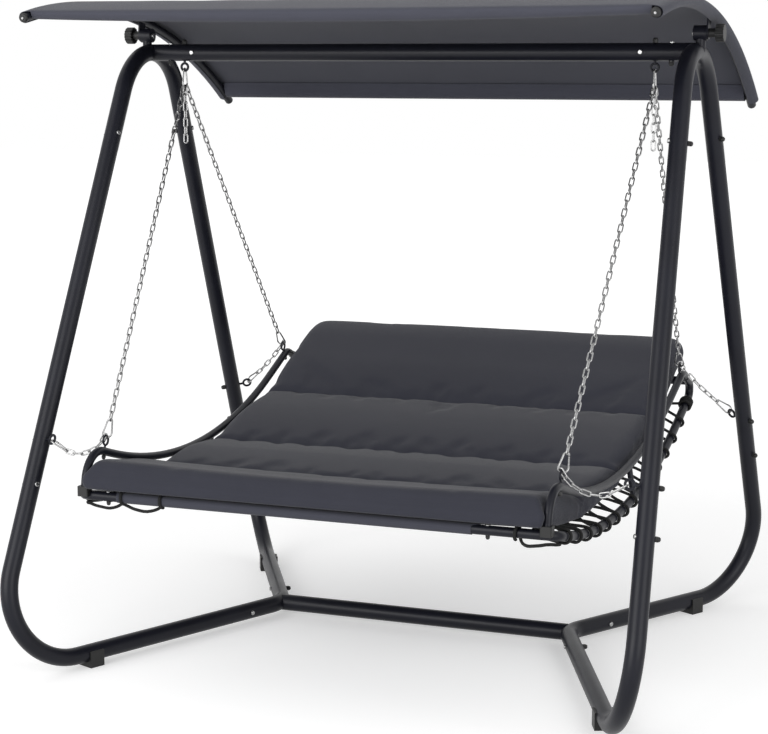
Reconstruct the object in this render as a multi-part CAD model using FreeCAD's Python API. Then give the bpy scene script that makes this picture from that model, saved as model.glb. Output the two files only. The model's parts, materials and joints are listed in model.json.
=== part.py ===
import FreeCAD, Part
import os
from math import acos, asin, atan2, cos, degrees, pi, sin, tan

from FreeCAD import Rotation, Vector

# Canopy swing bed: a round-tube stand, a tilting canopy and a lounger hung on four chains.
# Millimetres. X runs across the width, Y from front to rear, Z up from the floor.

# Stand: main tube, stance and base
tube_d = 48.0
tube_wall = 1.6
spigot_clearance = 0.15
spigot_length = 62.0
beam_height = 1678.0
leg_head_x = 802.0
leg_head_y = 117.0
leg_corner_x = 866.0
leg_corner_y = 865.0
pad_sole = 12.0
foot_bend_radius = 195.0
upper_joint_height = 1412.0
front_lower_joint_height = 482.0
rear_lower_joint_height = 452.0
vee_x = 446.0
vee_y = 113.0
vee_bend_radius = 95.0
vee_front_arm = 175.0
vee_rear_arm = 185.0
stub_joint_x = 672.0
sleeve_length = 150.0

# Foot pads
pad_length = 46.0
pad_wall = 4.0
pad_hug = 10.0
pad_front_distance = 345.0
pad_rear_distance = 330.0

# Frame bolts and acorn nuts
bolt_d = 8.0
bolt_hole_clearance = 0.2
bolt_head_d = 13.0
bolt_head_height = 4.5
nut_flats = 13.0
nut_height = 8.0
nut_dome_height = 6.0
nut_round_share = 0.8
head_round_share = 0.5
thread_gap = 0.1
joint_bolt_offset = 42.0
base_bolt_offset = 30.0
beam_bolt_x = 738.0
beam_cross_bolt_x = 659.0

# Eyebolts
beam_eye_x = 694.0
eye_wire_d = 7.0
eye_ring_radius = 10.5
eye_neck = 3.0
seat_eye_wire_d = 6.0
seat_eye_ring_radius = 13.0
front_leg_eye_height = 634.0
rear_leg_eye_height = 602.0
leg_eye_reach = 48.0
leg_eye_ring_radius = 12.0

# Canopy frame, fabric and tilt clamp
canopy_tilt = 10.6
pivot_height = 1727.0
arch_x = 842.0
arch_tube_d = 25.0
arch_tube_wall = 1.2
arch_chord = 1246.0
arch_sagitta = 126.0
arch_over_pivot = 46.0
cross_tube_d = 19.0
cross_tube_wall = 1.2
cross_tube_lift = 2.0
front_cross_tube_inset = 28.0
rear_cross_tube_inset = 46.0
fabric_thickness = 2.4
fabric_side_overhang = 12.0
fabric_overrun = 16.0
hem_thickness = 2.0
cap_length = 8.0
cap_plug = 18.0
plug_clearance = 0.1
cap_round_share = 0.6
hem_end_gap = 8.0
cap_screw_d = 7.0
cap_screw_height = 2.5
boss_d = 40.0
boss_inner_x = 797.0
boss_outer_x = 832.0
post_d = 26.0
tab_thickness = 4.0
tab_width = 34.0
running_gap = 0.3
pivot_bolt_d = 8.0
pivot_clearance = 0.05
pivot_head_d = 17.0
pivot_head_height = 5.0
knob_neck_d = 24.0
knob_d = 48.0
knob_length = 22.0
knob_start_x = 856.0
knob_groove_d = 6.0
knob_groove_count = 16
knob_edge = 2.0
knob_cap = 6.0

# Lounger frame
rail_d = 25.0
rail_wall = 1.5
arm_d = 22.0
arm_wall = 1.5
rail_x = 652.0
rail_front_y = -727.0
rail_front_height = 525.5
rail_dip_y = -20.0
rail_dip_height = 372.0
rail_dip_radius = 2150.0
rail_back_y = 772.0
rail_back_height = 659.0
rail_hairpin_radius = 28.0
rail_corner_radius = 42.0
left_front_joint_x = 590.0
right_front_joint_x = 502.0
rail_bolt_offset = 25.0
rail_bolt_d = 6.0
rail_bolt_head_height = 2.4
rail_spigot = 45.0
rear_rail_reach = 77.0
loop_joint_y = 659.0
loop_joint_height = 709.0
arm_front_x = 629.5
arm_foot_reach = 10.0
arm_foot_gap = 4.0
arm_nose_y = -716.0
arm_nose_height = 650.0
arm_nose_radius = 74.0
arm_dip_x = 634.0
arm_dip_y = -57.0
arm_dip_height = 449.0
arm_dip_radius = 1560.0
arm_back_reach = 45.0
arm_back_radius = 45.0
bracket_size = 30.0
bracket_height = 14.0
bracket_edge = 4.0
arm_post_y = 30.0
arm_post_d = 16.0
front_eye_y = -629.0
rear_eye_y = 597.0

# Sling, lacing and mattress
sling_half_width = 580.0
sling_thickness = 2.0
left_sleeve_reach = 536.0
right_sleeve_reach = 437.0
sling_corner_cut = 40.0
sleeve_gap = 0.3
lacing_d = 6.0
lacing_pitch = 95.0
lacing_count = 13
lacing_first_y = -570.0
mattress_half_width = 609.0
mattress_lift = 1.0
mattress_side = 70.0
mattress_crown = 82.0
mattress_seam = 60.0
mattress_seam_side = 54.0
mattress_seam_band = 34.0
mattress_bulge = 8.0
mattress_seam_inset = 7.0
mattress_end_drop = 14.0
mattress_front_reach = 38.0
mattress_bend_reach = 60.0
mattress_bend_radius = 400.0
mattress_end_slope = 8.0
mattress_end_reach = 65.0
mattress_panel_count = 4
panel_station_shares = (0.25, 0.5, 0.75)
band_height_share = 0.93

# Chains and carabiners
link_wire_d = 4.0
link_inner_width = 7.6
link_pitch = 23.0
contact_gap = 0.3
tail_links = 7
hook_wire_d = 5.0
hook_small_radius = 7.0
hook_large_radius = 13.0
hook_reach = 34.0
hook_nose = 3.0
hook_heel = 3.0
gate_d = 4.4
gate_gap = 0.4
front_stay_sag = 43.0
rear_stay_sag = 12.0
stay_hold_lean = 0.23
stay_eye_play = 1.2
stay_rounds = 9

cut_overrun = 2.0
shortest_run = 0.5
path_samples = 1500

# Worked-out sizes
tube_r = tube_d / 2
tube_bore = tube_r - tube_wall
spigot_r = tube_bore - spigot_clearance
spigot_bore = spigot_r - tube_wall
floor_axis = pad_sole + tube_r
rail_r = rail_d / 2
arm_r = arm_d / 2
arch_r = arch_tube_d / 2
cross_r = cross_tube_d / 2
bolt_r = bolt_d / 2
bolt_hole_r = bolt_r + bolt_hole_clearance
hook_r = hook_wire_d / 2
link_r = link_wire_d / 2
link_side = link_inner_width / 2 + link_r
swing_axis_height = beam_height - tube_r - eye_neck - eye_wire_d / 2 - 2 * eye_ring_radius
arch_half = arch_chord / 2
arch_radius = (arch_half ** 2 + arch_sagitta ** 2) / (2 * arch_sagitta)
arch_run = arch_radius * atan2(arch_half, arch_radius - arch_sagitta)
rail_bolt_r = rail_bolt_d / 2
rail_hole_r = rail_bolt_r + bolt_hole_clearance
rail_radii = [rail_corner_radius, rail_dip_radius, rail_hairpin_radius]
arm_radii = [arm_nose_radius, arm_dip_radius, arm_back_radius]
vee_arms = {-1: vee_front_arm, 1: vee_rear_arm}
pad_distances = {-1: pad_front_distance, 1: pad_rear_distance}
stay_sags = {-1: front_stay_sag, 1: rear_stay_sag}
lower_joint_heights = {-1: front_lower_joint_height, 1: rear_lower_joint_height}
leg_eye_heights = {-1: front_leg_eye_height, 1: rear_leg_eye_height}
front_joints = {-1: left_front_joint_x, 1: right_front_joint_x}
cross_tube_runs = {
    -1: arch_run - front_cross_tube_inset,
    1: arch_run - rear_cross_tube_inset,
}
sides = {"left": -1, "right": 1}
ends = {"front": -1, "rear": 1}
up = Vector(0, 0, 1)
across = Vector(1, 0, 0)
rearward = Vector(0, 1, 0)


def unit(vector):
    """A copy of the vector at length one."""
    return Vector(vector).normalize()


def flip(point, side):
    """The point mirrored to the left for side -1, kept for side 1."""
    return Vector(point.x * side, point.y, point.z)


def bent_wire(points, radii):
    """Straight runs through the points, joined by tangent arcs at the inner ones."""
    edges = []
    start = points[0]
    for before, corner, after, radius in zip(points, points[1:], points[2:], radii):
        back = unit(before - corner)
        ahead = unit(after - corner)
        half = back.getAngle(ahead) / 2
        reach = radius / tan(half)
        middle = corner + unit(back + ahead) * (radius / sin(half) - radius)
        entry = corner + back * reach
        leave = corner + ahead * reach
        if (entry - start).Length > shortest_run:
            edges.append(Part.LineSegment(start, entry).toShape())
            start = entry
        edges.append(Part.Arc(start, middle, leave).toShape())
        start = leave
    edges.append(Part.LineSegment(start, points[-1]).toShape())
    return Part.Wire(edges)


def ring_face(centre, axis, outer, inner):
    """An annulus, or a disc where the inner radius is zero."""
    rims = [Part.Wire(Part.makeCircle(outer, centre, axis))]
    if inner:
        rims.append(Part.Wire(Part.makeCircle(inner, centre, axis)))
    return Part.makeFace(rims, "Part::FaceMakerBullseye")


def swept(points, radii, outer, inner=0):
    """A round bar, or a tube where inner is given, along a bent path."""
    path = bent_wire(points, radii)
    return path.makePipe(ring_face(points[0], points[1] - points[0], outer, inner))


def rod(start, end, radius, bore=0):
    """A straight bar, or a tube where bore is given, between two points."""
    run = end - start
    solid = Part.makeCylinder(radius, run.Length, start, run)
    if bore:
        overrun = unit(run) * cut_overrun
        solid = solid.cut(rod(start - overrun, end + overrun, bore))
    return solid


def domed(base, axis, radius, height, rounding):
    """A short round bar that stands on its base, its far rim rounded over."""
    bar = Part.makeCylinder(radius, height, base, axis)
    rims = [edge for edge in bar.Edges if edge.Closed]
    far = max(rims, key=lambda edge: edge.CenterOfMass.distanceToPoint(base))
    return bar.makeFillet(rounding, [far])


def fused(solids):
    """One solid out of solids that touch or overlap."""
    shape = solids[0].multiFuse(solids[1:]).removeSplitter()
    return shape.Solids[0] if len(shape.Solids) == 1 else shape


def spigot(joint, direction, length, outer=tube_r, neck=spigot_r, wall=tube_wall):
    """A swaged end: the shoulder just before the joint line and the neck beyond it."""
    shoulder = rod(joint - direction * wall, joint, outer, neck - wall)
    return [shoulder, rod(joint - direction * wall, joint + direction * length, neck, neck - wall)]


def drilled(solid, holes, radius):
    """The solid with round through holes, each a centre and an axis."""
    for centre, axis in holes:
        half = unit(axis) * tube_d
        solid = solid.cut(rod(centre - half, centre + half, radius))
    return solid


def bolt(centre, axis, half_tube=tube_r, radius=bolt_r, height=bolt_head_height):
    """A round-head bolt through a tube, its head where the axis comes from."""
    seat = centre - axis * half_tube
    tip = centre + axis * (half_tube + nut_height * radius / bolt_r)
    head = domed(seat, axis * -1, bolt_head_d / 2, height, height * head_round_share)
    return fused([head, rod(seat, tip, radius)])


def cap_nut(seat, axis, radius):
    """An acorn nut that stands on its seat, sized and bored for a bolt radius."""
    scale = radius / bolt_r
    flats = nut_flats * scale
    height = nut_height * scale
    side = unit(axis.cross(across if abs(axis.z) > abs(axis.x) else up))
    corner = side * (flats / 2 / cos(pi / 6))
    rim = [seat + Rotation(axis, degrees(turn * pi / 3)).multVec(corner) for turn in range(6)]
    hexagon = Part.Face(Part.makePolygon(rim + rim[:1])).extrude(axis * height)
    dome_height = nut_dome_height * scale
    dome = domed(seat + axis * height, axis, flats / 2, dome_height, dome_height * nut_round_share)
    bore = rod(seat - axis * cut_overrun, seat + axis * (height + thread_gap), radius + thread_gap)
    return fused([hexagon, dome]).cut(bore)


def eyebolt(centre, stem_end, normal, ring_radius, wire_d):
    """A closed ring with a stem to the stem's end point."""
    stem = unit(stem_end - centre)
    ring = Part.makeTorus(ring_radius, wire_d / 2, centre, normal)
    return fused([ring, rod(centre + stem * ring_radius, stem_end, min(wire_d / 2, bolt_r))])


def save(name, solids):
    """Write one node, a solid or a group of separate solids."""
    shapes = solids if isinstance(solids, list) else [solids]
    flat = [solid for shape in shapes for solid in shape.Solids]
    shape = flat[0] if len(flat) == 1 else Part.makeCompound(flat)
    if not shape.isValid() or shape.Volume <= 0:
        print("not sound:", name)
    shape.exportStep(os.path.join("parts", name + ".step"))
    nodes[name] = shape


def leg_point(height, side, end):
    """The point of a leg's centre line at a height."""
    share = (beam_height - height) / (beam_height - floor_axis)
    x = leg_head_x + (leg_corner_x - leg_head_x) * share
    y = leg_head_y + (leg_corner_y - leg_head_y) * share
    return Vector(side * x, end * y, height)


def leg_rise(side, end):
    """The direction up a leg."""
    return unit(leg_point(beam_height, side, end) - leg_point(floor_axis, side, end))


def vee_corner(side):
    """The point where a base vee would bend without its radius."""
    return Vector(side * vee_x, vee_y, floor_axis)


def arm_run(side, end):
    """The direction along the floor from a foot to its base vee."""
    return unit(vee_corner(side) - leg_point(floor_axis, side, end))


def inward(side, end):
    """The direction across a leg's own bend plane, towards the middle of the stand."""
    normal = unit(leg_rise(side, end).cross(arm_run(side, end)))
    return normal if normal.x * side < 0 else normal * -1


def vee_joint(side, end):
    """The joint line between a foot and its base vee."""
    return vee_corner(side) - arm_run(side, end) * vee_arms[end]


def vee_points(side):
    """The corner points of a base vee's centre line."""
    return [vee_joint(side, -1), vee_corner(side), vee_joint(side, 1)]


def bow_points(side):
    """The corner points of a top bow's centre line."""
    slope = (beam_height - floor_axis) / (leg_corner_y - leg_head_y)
    crossing = leg_point(beam_height + leg_head_y * slope, side, 1)
    return [leg_point(upper_joint_height, side, -1), crossing, leg_point(upper_joint_height, side, 1)]


def bow_apex(side):
    """The middle of a top bow, where the beam starts."""
    return Vector(side * leg_head_x, 0, beam_height)


def bow_radius(side):
    """The bend radius that brings the middle of the bow to the beam's height."""
    front, crossing, rear = bow_points(side)
    half = (front - crossing).getAngle(rear - crossing) / 2
    return (crossing - bow_apex(side)).Length / (1 / sin(half) - 1)


def beam_eye(side):
    """The ring centre of a beam eyebolt."""
    return Vector(side * beam_eye_x, 0, swing_axis_height + eye_ring_radius)


def leg_eye(side, end):
    """The ring centre of a leg eyebolt."""
    return leg_point(leg_eye_heights[end], side, end) + inward(side, end) * leg_eye_reach


def joint_bolts():
    """Centre and axis of every bolt through the legs and the base."""
    places = {}
    for side in sides.values():
        for end in ends.values():
            rise = leg_rise(side, end)
            out = inward(side, end) * -1
            arm = arm_run(side, end)
            level = unit(Vector(arm.y, -arm.x, 0))
            level = level if level.y > 0 else level * -1
            raised = rise * joint_bolt_offset
            places[side, end, "upper"] = (leg_point(upper_joint_height, side, end) + raised, out)
            lower = leg_point(lower_joint_heights[end], side, end)
            places[side, end, "lower"] = (lower + raised, out)
            places[side, end, "base"] = (vee_joint(side, end) + arm * base_bolt_offset, level)
    return places


def build_stand():
    """Bows, beam, legs, feet, base and pads."""
    bolts = joint_bolts()
    sleeves = []
    brackets = []
    pads = []
    for side_name, side in sides.items():
        holes = [bolts[side, end, "upper"] for end in ends.values()]
        bow_bar = swept(bow_points(side), [bow_radius(side)], tube_r)
        bow_tube = swept(bow_points(side), [bow_radius(side)], tube_r, tube_bore)
        stub_end = Vector(side * stub_joint_x, 0, beam_height)
        stub = rod(bow_apex(side), stub_end, tube_r, tube_bore).cut(bow_bar)
        holes.append((Vector(side * beam_eye_x, 0, beam_height), up))
        holes.append((Vector(side * beam_bolt_x, 0, beam_height), up))
        save(side_name + "_top_bow", drilled(fused([bow_tube, stub]), holes, bolt_hole_r))
        half_sleeve = across * (sleeve_length / 2)
        sleeve = rod(stub_end - half_sleeve, stub_end + half_sleeve, spigot_r, spigot_bore)
        cross = (Vector(side * beam_cross_bolt_x, 0, beam_height), rearward)
        sleeves.append(drilled(sleeve, holes[-2:] + [cross], bolt_hole_r))
        boss = rod(pivot_point(side, boss_inner_x), pivot_point(side, boss_outer_x), boss_d / 2)
        post_x = (boss_inner_x + boss_outer_x) / 2
        post = rod(Vector(side * post_x, 0, beam_height), pivot_point(side, post_x), post_d / 2)
        bracket = fused([boss, post]).cut(bow_bar)
        brackets.append(drilled(bracket, [(pivot_point(side, post_x), across)], bolt_hole_r))
        vee = swept(vee_points(side), [vee_bend_radius], tube_r, tube_bore)
        holes = [bolts[side, end, "base"] for end in ends.values()]
        save(side_name + "_base_vee", drilled(vee, holes, bolt_hole_r))
        for end_name, end in ends.items():
            rise = leg_rise(side, end)
            arm = arm_run(side, end)
            upper = leg_point(upper_joint_height, side, end)
            lower = leg_point(lower_joint_heights[end], side, end)
            leg = fused([rod(lower, upper, tube_r, tube_bore)] + spigot(upper, rise, spigot_length))
            eye_hole = (leg_point(leg_eye_heights[end], side, end), inward(side, end))
            holes = [bolts[side, end, "upper"], bolts[side, end, "lower"], eye_hole]
            save(side_name + "_" + end_name + "_leg", drilled(leg, holes, bolt_hole_r))
            inner = vee_joint(side, end)
            corner = leg_point(floor_axis, side, end)
            bend = swept([lower, corner, inner], [foot_bend_radius], tube_r, tube_bore)
            foot = fused([bend] + spigot(lower, rise, spigot_length) + spigot(inner, arm, spigot_length))
            holes = [bolts[side, end, "lower"], bolts[side, end, "base"]]
            save(side_name + "_" + end_name + "_foot", drilled(foot, holes, bolt_hole_r))
            pads.append(foot_pad(corner + arm * pad_distances[end], arm))
    half_beam = across * stub_joint_x
    middle = up * beam_height
    beam = rod(middle - half_beam, middle + half_beam, tube_r, tube_bore)
    crosses = [(Vector(side * beam_cross_bolt_x, 0, beam_height), rearward) for side in sides.values()]
    save("top_beam", drilled(beam, crosses, bolt_hole_r))
    save("beam_sleeves", sleeves)
    save("tilt_brackets", brackets)
    bar = rod(vee_corner(-1), vee_corner(1), tube_r, tube_bore)
    for side in sides.values():
        bar = bar.cut(swept(vee_points(side), [vee_bend_radius], tube_r))
    save("floor_bar", max(bar.Solids, key=lambda solid: solid.Volume))
    save("foot_pads", pads)


def foot_pad(centre, along):
    """A saddle clip that hugs the tube from below and stands flat on the floor."""
    wide = unit(up.cross(along))
    half = wide * (tube_r + pad_wall)
    length = along * pad_length
    start = Vector(centre.x, centre.y, 0) - length / 2
    corners = [start - half, start + half, start + half + length, start - half + length]
    block = Part.Face(Part.makePolygon(corners + corners[:1])).extrude(up * (floor_axis + pad_hug))
    return block.cut(rod(centre - length, centre + length, tube_r))


def build_stand_fasteners():
    """Bolts, nuts and eyebolts of the stand."""
    bolts = []
    nuts = []
    for centre, axis in joint_bolts().values():
        bolts.append(bolt(centre, axis))
        nuts.append(cap_nut(centre + axis * tube_r, axis, bolt_r))
    beam_eyes = []
    leg_eyes = []
    eye_nuts = []
    for side in sides.values():
        for centre, axis in ((Vector(side * beam_bolt_x, 0, beam_height), up * -1),
                             (Vector(side * beam_cross_bolt_x, 0, beam_height), rearward)):
            bolts.append(bolt(centre, axis))
            nuts.append(cap_nut(centre + axis * tube_r, axis, bolt_r))
        centre = beam_eye(side)
        top = Vector(centre.x, centre.y, beam_height + tube_r)
        beam_eyes.append(eyebolt(centre, top + up * nut_height, rearward, eye_ring_radius, eye_wire_d))
        eye_nuts.append(cap_nut(top, up, bolt_r))
        for end in ends.values():
            out = inward(side, end) * -1
            seat = leg_point(leg_eye_heights[end], side, end) + out * tube_r
            centre = leg_eye(side, end)
            tip = seat + out * nut_height
            normal = leg_eye_normal(side, end)
            leg_eyes.append(eyebolt(centre, tip, normal, leg_eye_ring_radius, eye_wire_d))
            eye_nuts.append(cap_nut(seat, out, bolt_r))
    save("frame_bolts", bolts)
    save("frame_cap_nuts", nuts)
    save("beam_eyebolts", beam_eyes)
    save("leg_eyebolts", leg_eyes)
    save("eyebolt_cap_nuts", eye_nuts)


def leg_eye_normal(side, end):
    """The axis a leg eyebolt's ring turns round."""
    return unit(inward(side, end).cross(leg_rise(side, end)))


def pivot_point(side, x):
    """A point on the canopy's tilt axis."""
    return Vector(side * x, 0, pivot_height)


def arch_place(run, radius, x):
    """A point of the level canopy: run is the arc length from the crown at the tube's radius."""
    angle = run / arch_radius
    centre_height = pivot_height + arch_over_pivot - arch_radius
    return Vector(x, radius * sin(angle), centre_height + radius * cos(angle))


def arch_arc(x, radius, front_run, rear_run):
    """The arc of the level canopy from a front to a rear run, at an offset radius."""
    points = [arch_place(run, radius, x) for run in (-front_run, (rear_run - front_run) / 2, rear_run)]
    return Part.Arc(*points).toShape()


def tilted(shape):
    """The shape of the level canopy turned to its rest tilt."""
    turned = shape.copy()
    turned.rotate(pivot_point(0, 0), across, -canopy_tilt)
    return turned


def build_canopy():
    """Arches, cross tubes, end caps, tabs and fabric, tilted together."""
    caps = []
    screws = []
    tabs = []
    bars = []
    for side_name, side in sides.items():
        x = side * arch_x
        start = arch_place(-arch_run, arch_radius, x)
        heading = Vector(0, cos(arch_run / arch_radius), sin(arch_run / arch_radius))
        path = Part.Wire(arch_arc(x, arch_radius, arch_run, arch_run))
        bar = path.makePipe(ring_face(start, heading, arch_r, 0))
        bars.append(bar)
        tube = path.makePipe(ring_face(start, heading, arch_r, arch_r - arch_tube_wall))
        save(side_name + "_canopy_arch", tilted(tube))
        for end in ends.values():
            tip = arch_place(end * arch_run, arch_radius, x)
            outward = Vector(0, end * heading.y, -heading.z)
            cap = domed(tip, outward, arch_r, cap_length, cap_length * cap_round_share)
            plug = rod(tip - outward * cap_plug, tip, arch_r - arch_tube_wall - plug_clearance)
            caps.append(tilted(fused([cap, plug])))
            face = tip + outward * cap_length
            rounding = cap_screw_height * cap_round_share
            screws.append(tilted(domed(face, outward, cap_screw_d / 2, cap_screw_height, rounding)))
        near = pivot_point(side, boss_outer_x + running_gap)
        far = pivot_point(side, boss_outer_x + running_gap + tab_thickness)
        plate = Part.makeBox(tab_thickness, tab_width, arch_over_pivot)
        plate.translate(Vector(min(near.x, far.x), -tab_width / 2, pivot_height))
        eye = rod(near, far, tab_width / 2)
        tab = drilled(fused([plate, eye]), [(near, across)], pivot_bolt_d / 2 + pivot_clearance)
        tabs.append(tilted(tab.cut(bar)))
    sheet_edges = []
    inner = arch_radius + arch_r
    outer = inner + fabric_thickness
    sheet_runs = {end: run + fabric_overrun for end, run in cross_tube_runs.items()}
    x = -(arch_x + arch_r + fabric_side_overhang)
    sheet_edges.append(arch_arc(x, inner, sheet_runs[-1], sheet_runs[1]))
    sheet_edges.append(arch_arc(x, outer, sheet_runs[-1], sheet_runs[1]))
    for end, run in sheet_runs.items():
        below = arch_place(end * run, inner, x)
        above = arch_place(end * run, outer, x)
        sheet_edges.append(Part.LineSegment(below, above).toShape())
    face = Part.Face(Part.Wire(Part.__sortEdges__(sheet_edges)))
    fabric = [face.extrude(across * (-2 * x))]
    for end_name, end in ends.items():
        run = end * cross_tube_runs[end]
        span = [arch_place(run, arch_radius + cross_tube_lift, side * arch_x) for side in sides.values()]
        tube = rod(span[0], span[1], cross_r, cross_r - cross_tube_wall).cut(bars[0]).cut(bars[1])
        save("canopy_" + end_name + "_tube", tilted(max(tube.Solids, key=lambda solid: solid.Volume)))
        hem = across * (arch_x - arch_r - hem_end_gap)
        middle = (span[0] + span[1]) / 2
        hem_bore = cross_r + sleeve_gap
        fabric.append(rod(middle - hem, middle + hem, hem_bore + hem_thickness, hem_bore))
    save("canopy_fabric", tilted(fused(fabric)))
    save("canopy_tabs", tabs)
    save("arch_end_caps", caps)
    save("arch_end_screws", screws)


def build_tilt_clamps():
    """Pivot bolts and the ribbed knobs on them."""
    bolts = []
    for side_name, side in sides.items():
        outward = across * side
        seat = pivot_point(side, boss_inner_x)
        tip = pivot_point(side, knob_start_x + knob_length - knob_cap)
        rounding = pivot_head_height * cap_round_share
        head = domed(seat, outward * -1, pivot_head_d / 2, pivot_head_height, rounding)
        bolts.append(fused([head, rod(seat, tip, pivot_bolt_d / 2)]))
        neck_start = pivot_point(side, boss_outer_x + 2 * running_gap + tab_thickness)
        head_start = pivot_point(side, knob_start_x)
        head = Part.makeCylinder(knob_d / 2, knob_length, head_start, outward)
        head = head.makeFillet(knob_edge, [edge for edge in head.Edges if edge.Closed])
        for count in range(knob_groove_count):
            turn = 2 * pi * count / knob_groove_count
            groove = head_start + Vector(0, cos(turn), sin(turn)) * (knob_d / 2) - outward * cut_overrun
            groove_end = groove + outward * (knob_length + 2 * cut_overrun)
            head = head.cut(rod(groove, groove_end, knob_groove_d / 2))
        knob = fused([rod(neck_start, head_start + outward * knob_edge, knob_neck_d / 2), head])
        bore_start = neck_start - outward * cut_overrun
        bore_end = tip + outward * pivot_clearance
        bore = rod(bore_start, bore_end, pivot_bolt_d / 2 + pivot_clearance)
        save(side_name + "_tilt_knob", knob.cut(bore))
    save("pivot_bolts", bolts)


def rail_points(side):
    """The corner points of a side rail, from the front joint round to the loop joint."""
    return [
        Vector(side * front_joints[side], rail_front_y, rail_front_height),
        Vector(side * rail_x, rail_front_y, rail_front_height),
        Vector(side * rail_x, rail_dip_y, rail_dip_height),
        Vector(side * rail_x, rail_back_y, rail_back_height),
        Vector(side * rail_x, loop_joint_y, loop_joint_height),
    ]


def loop_run(side):
    """The direction along the short upper leg of a side rail's loop, forwards."""
    points = rail_points(side)
    return unit(points[-1] - points[-2])


def arm_points(side):
    """The corner points of an arm rail, from the front bracket to the loop joint."""
    joint = rail_points(side)[-1]
    foot_height = rail_front_height + rail_r + arm_foot_gap
    return [
        Vector(side * arm_front_x, rail_front_y - arm_foot_reach, foot_height),
        Vector(side * arm_front_x, arm_nose_y, arm_nose_height),
        Vector(side * arm_dip_x, arm_dip_y, arm_dip_height),
        joint + loop_run(side) * arm_back_reach,
        joint,
    ]


def point_at(path, y):
    """The point where a path crosses a distance from front to rear."""
    points = path.discretize(Number=path_samples)
    return min(points, key=lambda point: abs(point.y - y))


def run_at(path, y):
    """The direction of a path where it crosses a distance from front to rear."""
    points = path.discretize(Number=path_samples)
    index = min(range(path_samples - 1), key=lambda count: abs(points[count].y - y))
    return unit(points[index + 1] - points[index])


def seat_eye_foot(side, end):
    """The point of an arm rail's centre line that carries a seat eyebolt."""
    nose, dip, back = arm_points(side)[1:4]
    start, finish, y = (nose, dip, front_eye_y) if end < 0 else (dip, back, rear_eye_y)
    return start + (finish - start) * ((y - start.y) / (finish.y - start.y))


def seat_eye_rise(side, end):
    """The direction in which a seat eyebolt stands off its arm rail."""
    nose, dip, back = arm_points(side)[1:4]
    run = dip - nose if end < 0 else back - dip
    return unit(across.cross(run))


def seat_eye(side, end):
    """The ring centre of a seat eyebolt."""
    reach = arm_r + eye_neck + seat_eye_wire_d / 2 + seat_eye_ring_radius
    return seat_eye_foot(side, end) + seat_eye_rise(side, end) * reach


def rail_bolt_place(side):
    """The middle of the bolt that holds a side rail in the front rail."""
    return rail_points(side)[0] - across * (side * rail_bolt_offset)


def rear_rail_place(side):
    """The point where the rear rail meets a side rail's loop."""
    return rail_points(side)[3] + loop_run(side) * rear_rail_reach


def build_lounger_frame():
    """Rails, arm rails, brackets, posts and seat eyebolts."""
    brackets = []
    posts = []
    eyes = []
    nuts = []
    bars = []
    rail_bolts = []
    stem_hole_r = seat_eye_wire_d / 2 + bolt_hole_clearance
    bolt_holes = {side: (rail_bolt_place(side), up) for side in sides.values()}
    for side_name, side in sides.items():
        rail_path = rail_points(side)
        bar = swept(rail_path, rail_radii, rail_r)
        bars.append(bar)
        neck = rail_r - rail_wall - spigot_clearance
        tube = swept(rail_path, rail_radii, rail_r, rail_r - rail_wall)
        plug = spigot(rail_path[0], across * -side, rail_spigot, rail_r, neck, rail_wall)
        save(side_name + "_side_rail", drilled(fused([tube] + plug), [bolt_holes[side]], rail_hole_r))
        place = rail_bolt_place(side)
        rail_bolts.append(bolt(place, up * -1, rail_r, rail_bolt_r, rail_bolt_head_height))
        nuts.append(cap_nut(place - up * rail_r, up * -1, rail_bolt_r))
        arm_path = arm_points(side)
        arm_bar = swept(arm_path, arm_radii, arm_r)
        tube = swept(arm_path, arm_radii, arm_r, arm_r - arm_wall)
        plug = spigot(arm_path[-1], loop_run(side) * -1, rail_spigot, arm_r, neck, arm_wall)
        holes = [(seat_eye_foot(side, end), seat_eye_rise(side, end)) for end in ends.values()]
        save(side_name + "_arm_rail", drilled(fused([tube] + plug), holes, stem_hole_r))
        block = Part.makeBox(bracket_size, bracket_size, rail_r + bracket_height)
        inset = bracket_size / 2
        block.translate(Vector(arm_path[0].x - inset, arm_path[0].y - inset, rail_front_height))
        upright = [edge for edge in block.Edges if edge.BoundBox.ZLength > bracket_height]
        block = block.makeFillet(bracket_edge, upright)
        brackets.append(block.cut(bar).cut(arm_bar))
        foot = point_at(bent_wire(rail_path, rail_radii), arm_post_y)
        head = point_at(bent_wire(arm_path, arm_radii), arm_post_y)
        posts.append(rod(foot, head, arm_post_d / 2).cut(bar).cut(arm_bar))
        for end in ends.values():
            down = seat_eye_rise(side, end) * -1
            seat = seat_eye_foot(side, end) + down * arm_r
            ring = seat_eye(side, end)
            stem_end = seat + down * (nut_height * seat_eye_wire_d / bolt_d)
            eyes.append(eyebolt(ring, stem_end, across, seat_eye_ring_radius, seat_eye_wire_d))
            nuts.append(cap_nut(seat, down, seat_eye_wire_d / 2))
    ends_front = [rail_points(side)[0] for side in sides.values()]
    front = rod(ends_front[0], ends_front[1], rail_r, rail_r - rail_wall)
    save("front_rail", drilled(front, list(bolt_holes.values()), rail_hole_r))
    rear = rod(rear_rail_place(-1), rear_rail_place(1), rail_r, rail_r - rail_wall)
    rear = rear.cut(bars[0]).cut(bars[1])
    save("rear_rail", max(rear.Solids, key=lambda solid: solid.Volume))
    save("corner_brackets", brackets)
    save("arm_posts", posts)
    save("seat_eyebolts", eyes)
    save("seat_nuts", nuts)
    save("rail_bolts", rail_bolts)


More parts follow.
